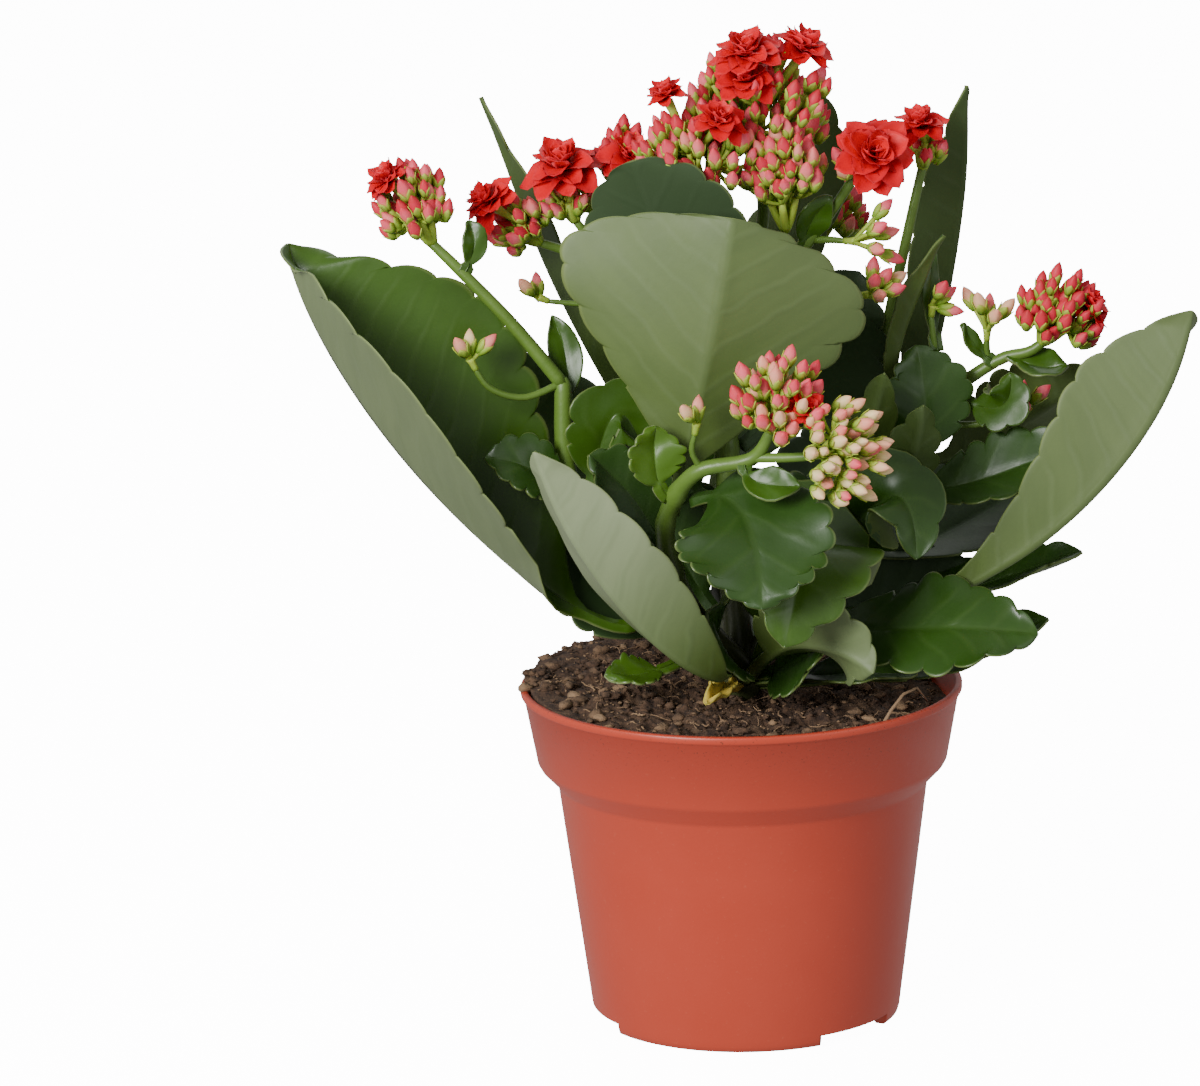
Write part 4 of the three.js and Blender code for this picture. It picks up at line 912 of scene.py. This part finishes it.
def add_leaf(piece, leaf, root, seed):
    curve = Bezier([root, *leaf["path"]])
    u, half, lean, passed = leaf_outline(leaf, curve.length)
    length = u * curve.length
    centre, along = curve.walk(u)
    up = vec(leaf["up"]) - along * (along @ vec(leaf["up"]))[:, None]
    up /= np.linalg.norm(up, axis=1)[:, None]
    side = np.cross(up, along)
    b = np.clip((u - leaf["petiole"]) / (1 - leaf["petiole"]), 0, 1)
    rib = LEAF["rib"] + (LEAF["stalk_thick"] - LEAF["rib"]) * np.maximum(0, 1 - 4 * b)
    opened = np.minimum(1, half / (0.2 * leaf["width"]))
    fold = radians(leaf["fold"]) * opened
    shift = 0.31 * seed
    tops, bottoms = [], []
    for s in [-r for r in REACHES[:0:-1]] + list(REACHES):
        hand, reach = copysign(1, s), abs(s)
        cut = notch_depth(leaf, half, passed, seed + (0 if hand > 0 else 2.2)) * reach ** 6
        cut = cut * (0.35 if hand == leaf["bare"] else 1)
        slant = 1 + max(0, hand * leaf["slanted"]) * np.interp(b, *SLANT)
        distance = half * reach * slant - cut * np.cos(lean)
        angle = fold + radians(leaf["curl"]) * opened * distance / half
        out, height = half_section(distance, fold, angle)
        ripple = leaf["wave"] * np.sin(2 * pi * leaf["waves"] * b + (0 if hand > 0 else 1.9)) * reach ** 2
        tremble = 0.5 * np.sin(17 * b + seed + 2 * hand) * smoothstep(0.5, 1, reach)
        tremble = tremble + 0.4 * np.sin(9 * b + 3 * s + seed)
        quilt = np.abs(((length - VEIN_SLANT * half * reach) / VEIN_PITCH + shift) % 1 - 0.5)
        quilt = 0.1 * smoothstep(0.2, 0.5, quilt) * smoothstep(1, 0.6, reach) * smoothstep(0.02, 0.2, b)
        middle = centre + side * (hand * out)[:, None] + along * (cut * np.sin(lean))[:, None]
        middle = middle + up * (height + (ripple + tremble * b) * opened)[:, None]
        tip = angle if reach else 0 * angle
        normal = up * np.cos(tip)[:, None] - side * (hand * np.sin(tip))[:, None]
        rim = sqrt(max(0, 1 - ((reach - 0.94) / 0.06) ** 2)) if reach > 0.94 else 1
        thick = (rib + (LEAF["margin"] - rib) * reach) / 2 * max(rim, 0.2)
        keel = 0.35 * np.exp(-(half * reach / 1.3) ** 2) * smoothstep(1, 0.7, b)
        groove = -0.3 * np.exp(-(half * reach / 1.1) ** 2) * smoothstep(0, 0.1, b)
        for face, skin, offset in ((0, tops, thick + groove - quilt), (1, bottoms, -(thick + keel))):
            place = np.stack([hand * distance, length, np.full_like(u, face)], 1)
            skin.append((middle + normal * offset[:, None], place, reach))
    skin = tops + bottoms[::-1]
    rows, sides = len(u), len(skin)
    points, place = (np.stack([column[k] for column in skin], 1).reshape(-1, 3) for k in (0, 1))
    reach = np.broadcast_to(vec([column[2] for column in skin]), (rows, sides))
    reach = np.maximum(reach, smoothstep(0.975, 1, u)[:, None])
    bright = leaf["bright"]
    # A pale leaf stays the common green at its foot, painted shade where it runs into the plant, and grows
    # lighter towards its tip.
    foot_shade_ramp = smoothstep(0.05, 0.75, b)[:, None] if leaf["pale"] and bright > 0 else 1
    kind = np.stack([reach, bright * foot_shade_ramp + 0 * reach, np.full_like(reach, shift % 1)], 2)
    piece.add(points, closed_faces(rows, sides), leaf_place=place, leaf_kind=kind.reshape(-1, 3))


def make_leaves():
    for i, (name, leaf) in enumerate(LEAVES.items()):
        piece = Piece(f"leaf_{name}_blade")
        add_leaf(piece, leaf, leaf_root(leaf), i + 1)
        piece.finish("leaf_green", f"leaf_{name}")
    inner = Piece("plant_inner_leaves")
    for i, leaf in enumerate(INNER_LEAVES):
        add_leaf(inner, leaf, leaf_root(leaf), 80 + i)
    inner.finish("leaf_green")


# Flowers

CORE_DEPTH = 0.375
# How far from its axis a head carries buds, in degrees.
SPREAD = {"top_low": 74}
COMMON_SPREAD = 100
LOOSE_SPREAD = radians(48)
# Buds in each layer for one of a head's count, and how far out the innermost of them sit.
BUD_LAYERS = ((2.2, 0.86), (1.5, 0.66), (0.7, 0.46))
BRANCHES = 5
BRANCH_SPREAD = radians(42)


def turned(points, origin, way, roll, size):
    """Local points, with their own axis along +Z, placed at an origin along a way."""
    way = unit(way)
    helper = vec([0, 0, 1]) if abs(way[2]) < 0.9 else vec([1, 0, 0])
    first = unit(np.cross(helper, way))
    a = cos(roll) * first + sin(roll) * np.cross(way, first)
    b = np.cross(way, a)
    return origin + size * (points[:, :1] * a + points[:, 1:2] * b + points[:, 2:] * way)


def bud_shape():
    """A bud of unit length along +Z: four folded petals that end in a point."""
    sides, rings = 12, 10
    t = np.linspace(0.02, 1, rings)
    profile = vec([0.14, 0.21, 0.25, 0.28, 0.29, 0.285, 0.26, 0.21, 0.13, 0.015])
    phi = np.arange(sides) * 2 * pi / sides
    radius = profile[:, None] * (1 + 0.07 * np.cos(4 * (phi[None] - 0.9 * t[:, None])))
    height = np.broadcast_to(t[:, None], radius.shape)
    points = np.stack([radius * np.cos(phi), radius * np.sin(phi), height], -1)
    return points.reshape(-1, 3), closed_faces(rings, sides), np.repeat(t, sides)


def sepal_shape():
    """A pointed sepal that hugs a bud of unit length, for a sepal that faces +X."""
    rows, columns = 5, 3
    t = np.linspace(0, 1, rows)
    width = 0.21 * np.sin(pi * np.clip(0.25 + 0.75 * t, 0, 1)) ** 0.8 + 0.004
    s = np.linspace(-1, 1, columns)
    reach = 0.15 + 0.16 * np.sin(pi * 0.5 * np.minimum(1, 1.6 * t)) + 0.05 * t ** 3
    angle = s[None] * width[:, None] / 0.26
    height = np.broadcast_to(0.01 + 0.6 * t[:, None], angle.shape)
    outer, inner = (
        np.stack([r * np.cos(angle), r * np.sin(angle), height], -1)
        for r in (reach[:, None] + 0.02, reach[:, None] - 0.015)
    )
    ring = np.concatenate([outer, inner[:, ::-1]], 1)
    return ring.reshape(-1, 3), closed_faces(rows, 2 * columns), np.repeat(t, 2 * columns)


def petal_shape():
    """A broad petal of unit length along +X that ends in a small hooked point, cupped along its middle."""
    rows, columns = 8, 7
    t = np.linspace(0, 1, rows)
    width = 0.34 * np.sin(pi * np.clip(t, 0, 0.999) ** 1.1) ** 0.75 + 0.06 * (1 - t)
    s = np.linspace(-1, 1, columns)
    rise = 0.1 * np.sin(pi * t) - 0.03 * t + 0.1 * smoothstep(0.86, 1, t)
    ruffle = 0.035 * np.sin(9 * t[:, None] + 2.5 * s[None]) * s[None] ** 2
    upper, lower = (
        np.stack([np.broadcast_to(t[:, None], z.shape), width[:, None] * s[None], z], -1)
        for z in (
            rise[:, None] + 0.35 * width[:, None] * s[None] ** 2 + ruffle + lift * (1 - s[None] ** 6)
            for lift in (0.012, -0.012)
        )
    )
    ring = np.concatenate([upper, lower[:, ::-1]], 1)
    edge = np.maximum(np.abs(s)[None] ** 5, smoothstep(0.8, 1, t)[:, None]) * np.ones((rows, 1))
    edge = np.concatenate([edge, edge[:, ::-1]], 1)
    under = np.concatenate([np.zeros((rows, columns)), np.ones((rows, columns))], 1)
    faces = closed_faces(rows, 2 * columns, flip=True)
    return ring.reshape(-1, 3), faces, np.repeat(t, 2 * columns), edge.ravel(), under.ravel()


BODY, SEPAL, PETAL = bud_shape(), sepal_shape(), petal_shape()
# Petals, tilt above the face, share of the length, start above the middle.
PETAL_LAYERS = (
    (8, 2, 1.0, 0.0), (8, 20, 0.92, 0.06), (7, 38, 0.8, 0.1), (6, 56, 0.66, 0.12), (4, 74, 0.5, 0.14),
)


def add_bud(piece, base, tip, stage, random, radius):
    """A bud with its four sepals between two points."""
    way = tip - base
    length = np.linalg.norm(way)
    roll = 2 * pi * next(random)
    fat = radius / (0.3 * length)
    parts = [(1, BODY, 0)] + [(0, SEPAL, pi / 2 * (k + 0.5)) for k in range(4)]
    for kind, (points, faces, t), turn in parts:
        x, y, z = points.T
        spun = np.stack([x * cos(turn) - y * sin(turn), x * sin(turn) + y * cos(turn), z], 1)
        spun = spun * vec([fat, fat, 1])
        place = np.stack([t, np.full_like(t, stage), np.full_like(t, kind)], 1)
        piece.add(turned(spun, base, way, roll, length), faces, flower_place=place, petal_place=(0, 0, 0))


def add_floret(piece, middle, face, radius, random):
    """A double floret: layers of petals that open less and less towards the middle."""
    face = unit(face)
    helper = vec([0, 1, 0]) if abs(face[1]) < 0.9 else vec([1, 0, 0])
    first = unit(helper - face * (helper @ face))
    second = np.cross(face, first)
    points, faces, t, edge, under = PETAL
    for layer, (count, tilt, share, start) in enumerate(PETAL_LAYERS):
        for k in range(count):
            turn = 2 * pi * (k + 0.5 * (layer % 2)) / count + 0.3 * (next(random) - 0.5)
            lift = radians(tilt + 32 * (next(random) - 0.5))
            length = radius * share * (0.84 + 0.28 * next(random))
            out = cos(turn) * first + sin(turn) * second
            along = cos(lift) * out + sin(lift) * face
            across = np.cross(face, out)
            over = np.cross(along, across)
            twist = 0.5 * (next(random) - 0.5)
            across, over = cos(twist) * across + sin(twist) * over, cos(twist) * over - sin(twist) * across
            curve = points[:, 2:] - 0.12 * points[:, :1] ** 2 * (1 if layer < 2 else -1.4)
            place = middle + face * (start * radius)
            place = place + length * (points[:, :1] * along + points[:, 1:2] * across + curve * over)
            kind = np.stack([t, np.full_like(t, 1.0), np.full_like(t, 2.0)], 1)
            piece.add(place, faces, flower_place=kind, petal_place=np.stack([edge, under * 0.8, 0 * t], 1))


def add_pedicel(piece, start, end, thin, thick, bend=(0, 0, 0)):
    """A fleshy stalk that widens into the bud's base."""
    rows, sides = 5, 6
    t = np.linspace(0, 1, rows)
    points = start + (end - start) * t[:, None] + vec(bend) * (4 * t * (1 - t))[:, None]
    skin, faces = tube(points, thin + (thick - thin) * t ** 2, sides)
    tone = along_tube(sides, 0.35 + 0.5 * t, 0 * t, 0 * t)
    piece.add(skin, faces, flower_place=tone, petal_place=(0, 0, 0))


def aim(axis, theta, phi):
    """A way at an angle from an axis."""
    helper = vec([0, 1, 0]) if abs(axis[1]) < 0.9 else vec([1, 0, 0])
    first = unit(helper - axis * (helper @ axis))
    second = np.cross(axis, first)
    return cos(theta) * axis + sin(theta) * cos(phi) * first + sin(theta) * sin(phi) * second


def loose_cyme(piece, facing, deep, count, end, along, random, stage):
    knob = end + along * 1.2
    add_pedicel(piece, end - 1.5 * along, knob + facing, 0.9, 1.3)
    for i in range(count):
        way = aim(facing, LOOSE_SPREAD * sqrt((i + 0.5) / count), i * GOLDEN_ANGLE)
        tip = knob + way * (deep * (0.82 + 0.25 * next(random)))
        base = tip - way * BUD_LENGTH * 0.92
        add_pedicel(piece, knob, base + 0.6 * way, 0.55, 0.75)
        ripe = np.clip(stage + 0.5 * (next(random) - 0.5), 0, 1)
        add_bud(piece, base, tip, ripe, random, LOOSE_BUD_RADIUS)


def crosses_leaf(start, end):
    """Whether a leaf lies between two points, or right beside the second."""
    way = Vector(end - start)
    if LEAVES_TREE.ray_cast(Vector(start), way.normalized(), way.length)[0]:
        return True
    return LEAVES_TREE.find_nearest(Vector(end))[3] < 2


def dense_cyme(piece, facing, deep, count, end, along, random, stage, wide, spread, florets):
    half = CORE_DEPTH * deep
    middle = end + along * 1.5 + facing * half
    places = [(unit(way), size, end + unit(way) * (distance - 0.3 * size)) for way, distance, size in florets]
    buds = []
    for turn, (share, low) in enumerate(BUD_LAYERS):
        number = int(share * count)
        for i in range(number):
            cosine = 1 - (i + 0.5) / number * (1 - cos(radians(spread)))
            way = aim(facing, acos(cosine), i * GOLDEN_ANGLE + 0.4 * next(random) + 1.1 * turn)
            forward = facing * (way @ facing)
            reach = low + 0.2 * next(random)
            tip = middle + forward * ((deep - half) * reach) + (way - forward) * (wide * reach)
            if any(np.linalg.norm(centre - tip) < 0.8 * size for _, size, centre in places):
                continue
            if not crosses_leaf(middle, tip):
                buds.append((tip, way))
    hubs = []
    for k in range(BRANCHES):
        way = aim(facing, BRANCH_SPREAD, k * 2 * pi / BRANCHES + 0.5)
        hubs.append(end + facing * (0.3 * deep) + (way - facing * (way @ facing)) * (0.45 * wide))
    hubs.append(end + facing * (0.45 * deep))
    for hub in hubs:
        add_pedicel(piece, end - 1.5 * along, hub, 1.3, 0.95, bend=-0.8 * facing)
    for tip, way in buds:
        lean = unit(0.45 * way + 0.8 * facing + 0.16 * vec([next(random) - 0.5 for _ in range(3)]))
        length = BUD_LENGTH * (0.68 + 0.3 * next(random))
        base = tip - lean * length
        hub = min(hubs, key=lambda h: np.linalg.norm(h - base))
        add_pedicel(piece, hub, base + 0.5 * lean, 0.5, 0.8, bend=-0.6 * facing)
        ripe = np.clip(stage + 0.7 * (next(random) - 0.5) + 0.12 * (way @ facing), 0, 1)
        add_bud(piece, base, tip, ripe, random, 0.23 * length * (0.9 + 0.25 * next(random)))
    for face, size, centre in places:
        add_pedicel(piece, hubs[-1], centre - face * (0.28 * size), 0.7, 1.5)
        add_floret(piece, centre - face * (0.15 * size), face, 1.15 * size, random)


def make_flowers():
    for index, (name, (stage, axis, wide, deep, count, *florets)) in enumerate(CYMES.items()):
        along = CURVES[name].tangent(1)
        end = CURVES[name].point(1) + along * GAP
        piece = Piece(f"flowers_{name}_heads")
        common = (piece, unit(axis), deep, count, end, along, draws(101 + 37 * index), stage)
        if wide:
            dense_cyme(*common, wide, SPREAD.get(name, COMMON_SPREAD), florets)
        else:
            loose_cyme(*common)
        piece.finish("flower", f"flowers_{name}")


# Camera, light and floor

# Place, aim, size and watts, in metres.
LIGHTS = (
    ((-0.75, -1.1, 0.68), (0, 0, 0.14), 0.6, 27),
    ((1.1, -0.9, 0.6), (0, 0, 0.14), 0.9, 3),
    ((0.1, 0.9, 1.2), (0, 0, 0.15), 0.9, 4),
)
SKY_STRENGTH = 0.45
FLOOR = {"reach": 6, "drop": 0.0004, "glow": 14.0}


def link(name, data):
    item = bpy.data.objects.new(name, data)
    bpy.context.scene.collection.objects.link(item)
    return item


def make_stage():
    data = bpy.data.cameras.new("camera")
    data.sensor_width, data.lens = CAMERA["sensor"], CAMERA["lens"]
    data.clip_start, data.clip_end = 0.1, 20
    camera = link("camera", data)
    tilt = radians(CAMERA["elevation"])
    back = vec([0, -cos(tilt), sin(tilt)])
    camera.location = (vec(CAMERA["aim"]) + CAMERA["distance"] * back) * MM
    camera.rotation_mode = "XYZ"
    look = Vector(-back).to_track_quat("-Z", "Y").to_matrix()
    camera.rotation_euler = (look @ Matrix.Rotation(radians(CAMERA["roll"]), 3, "Z")).to_euler()
    bpy.context.scene.camera = camera
    for k, (place, target, size, power) in enumerate(LIGHTS):
        light = bpy.data.lights.new(f"soft_{k}", "AREA")
        light.size, light.energy = size, power
        lamp = link(f"soft_{k}", light)
        lamp.location = place
        lamp.rotation_mode = "QUATERNION"
        lamp.rotation_quaternion = (Vector(target) - Vector(place)).to_track_quat("-Z", "Y")
    world = bpy.data.worlds.new("studio")
    world.use_nodes = True
    background = world.node_tree.nodes["Background"]
    background.inputs["Color"].default_value = (1, 1, 1, 1)
    background.inputs["Strength"].default_value = SKY_STRENGTH
    bpy.context.scene.world = world
    white = (0.95, 0.95, 0.95, 1)
    data = bpy.data.meshes.new("floor")
    far = FLOOR["reach"]
    data.from_pydata([(-far, -far, 0), (far, -far, 0), (far, far, 0), (-far, far, 0)], [], [(0, 1, 2, 3)])
    glow = Shader("floor").done(white, 0.8, Emission_Color=white, Emission_Strength=FLOOR["glow"])
    data.materials.append(glow)
    floor = link("floor", data)
    floor.location = (0, 0, -FLOOR["drop"])
    floor.visible_diffuse = False
    floor.visible_glossy = False


make_stage()
make_pot()
make_soil()
make_stems()
make_leaves()
make_flowers()
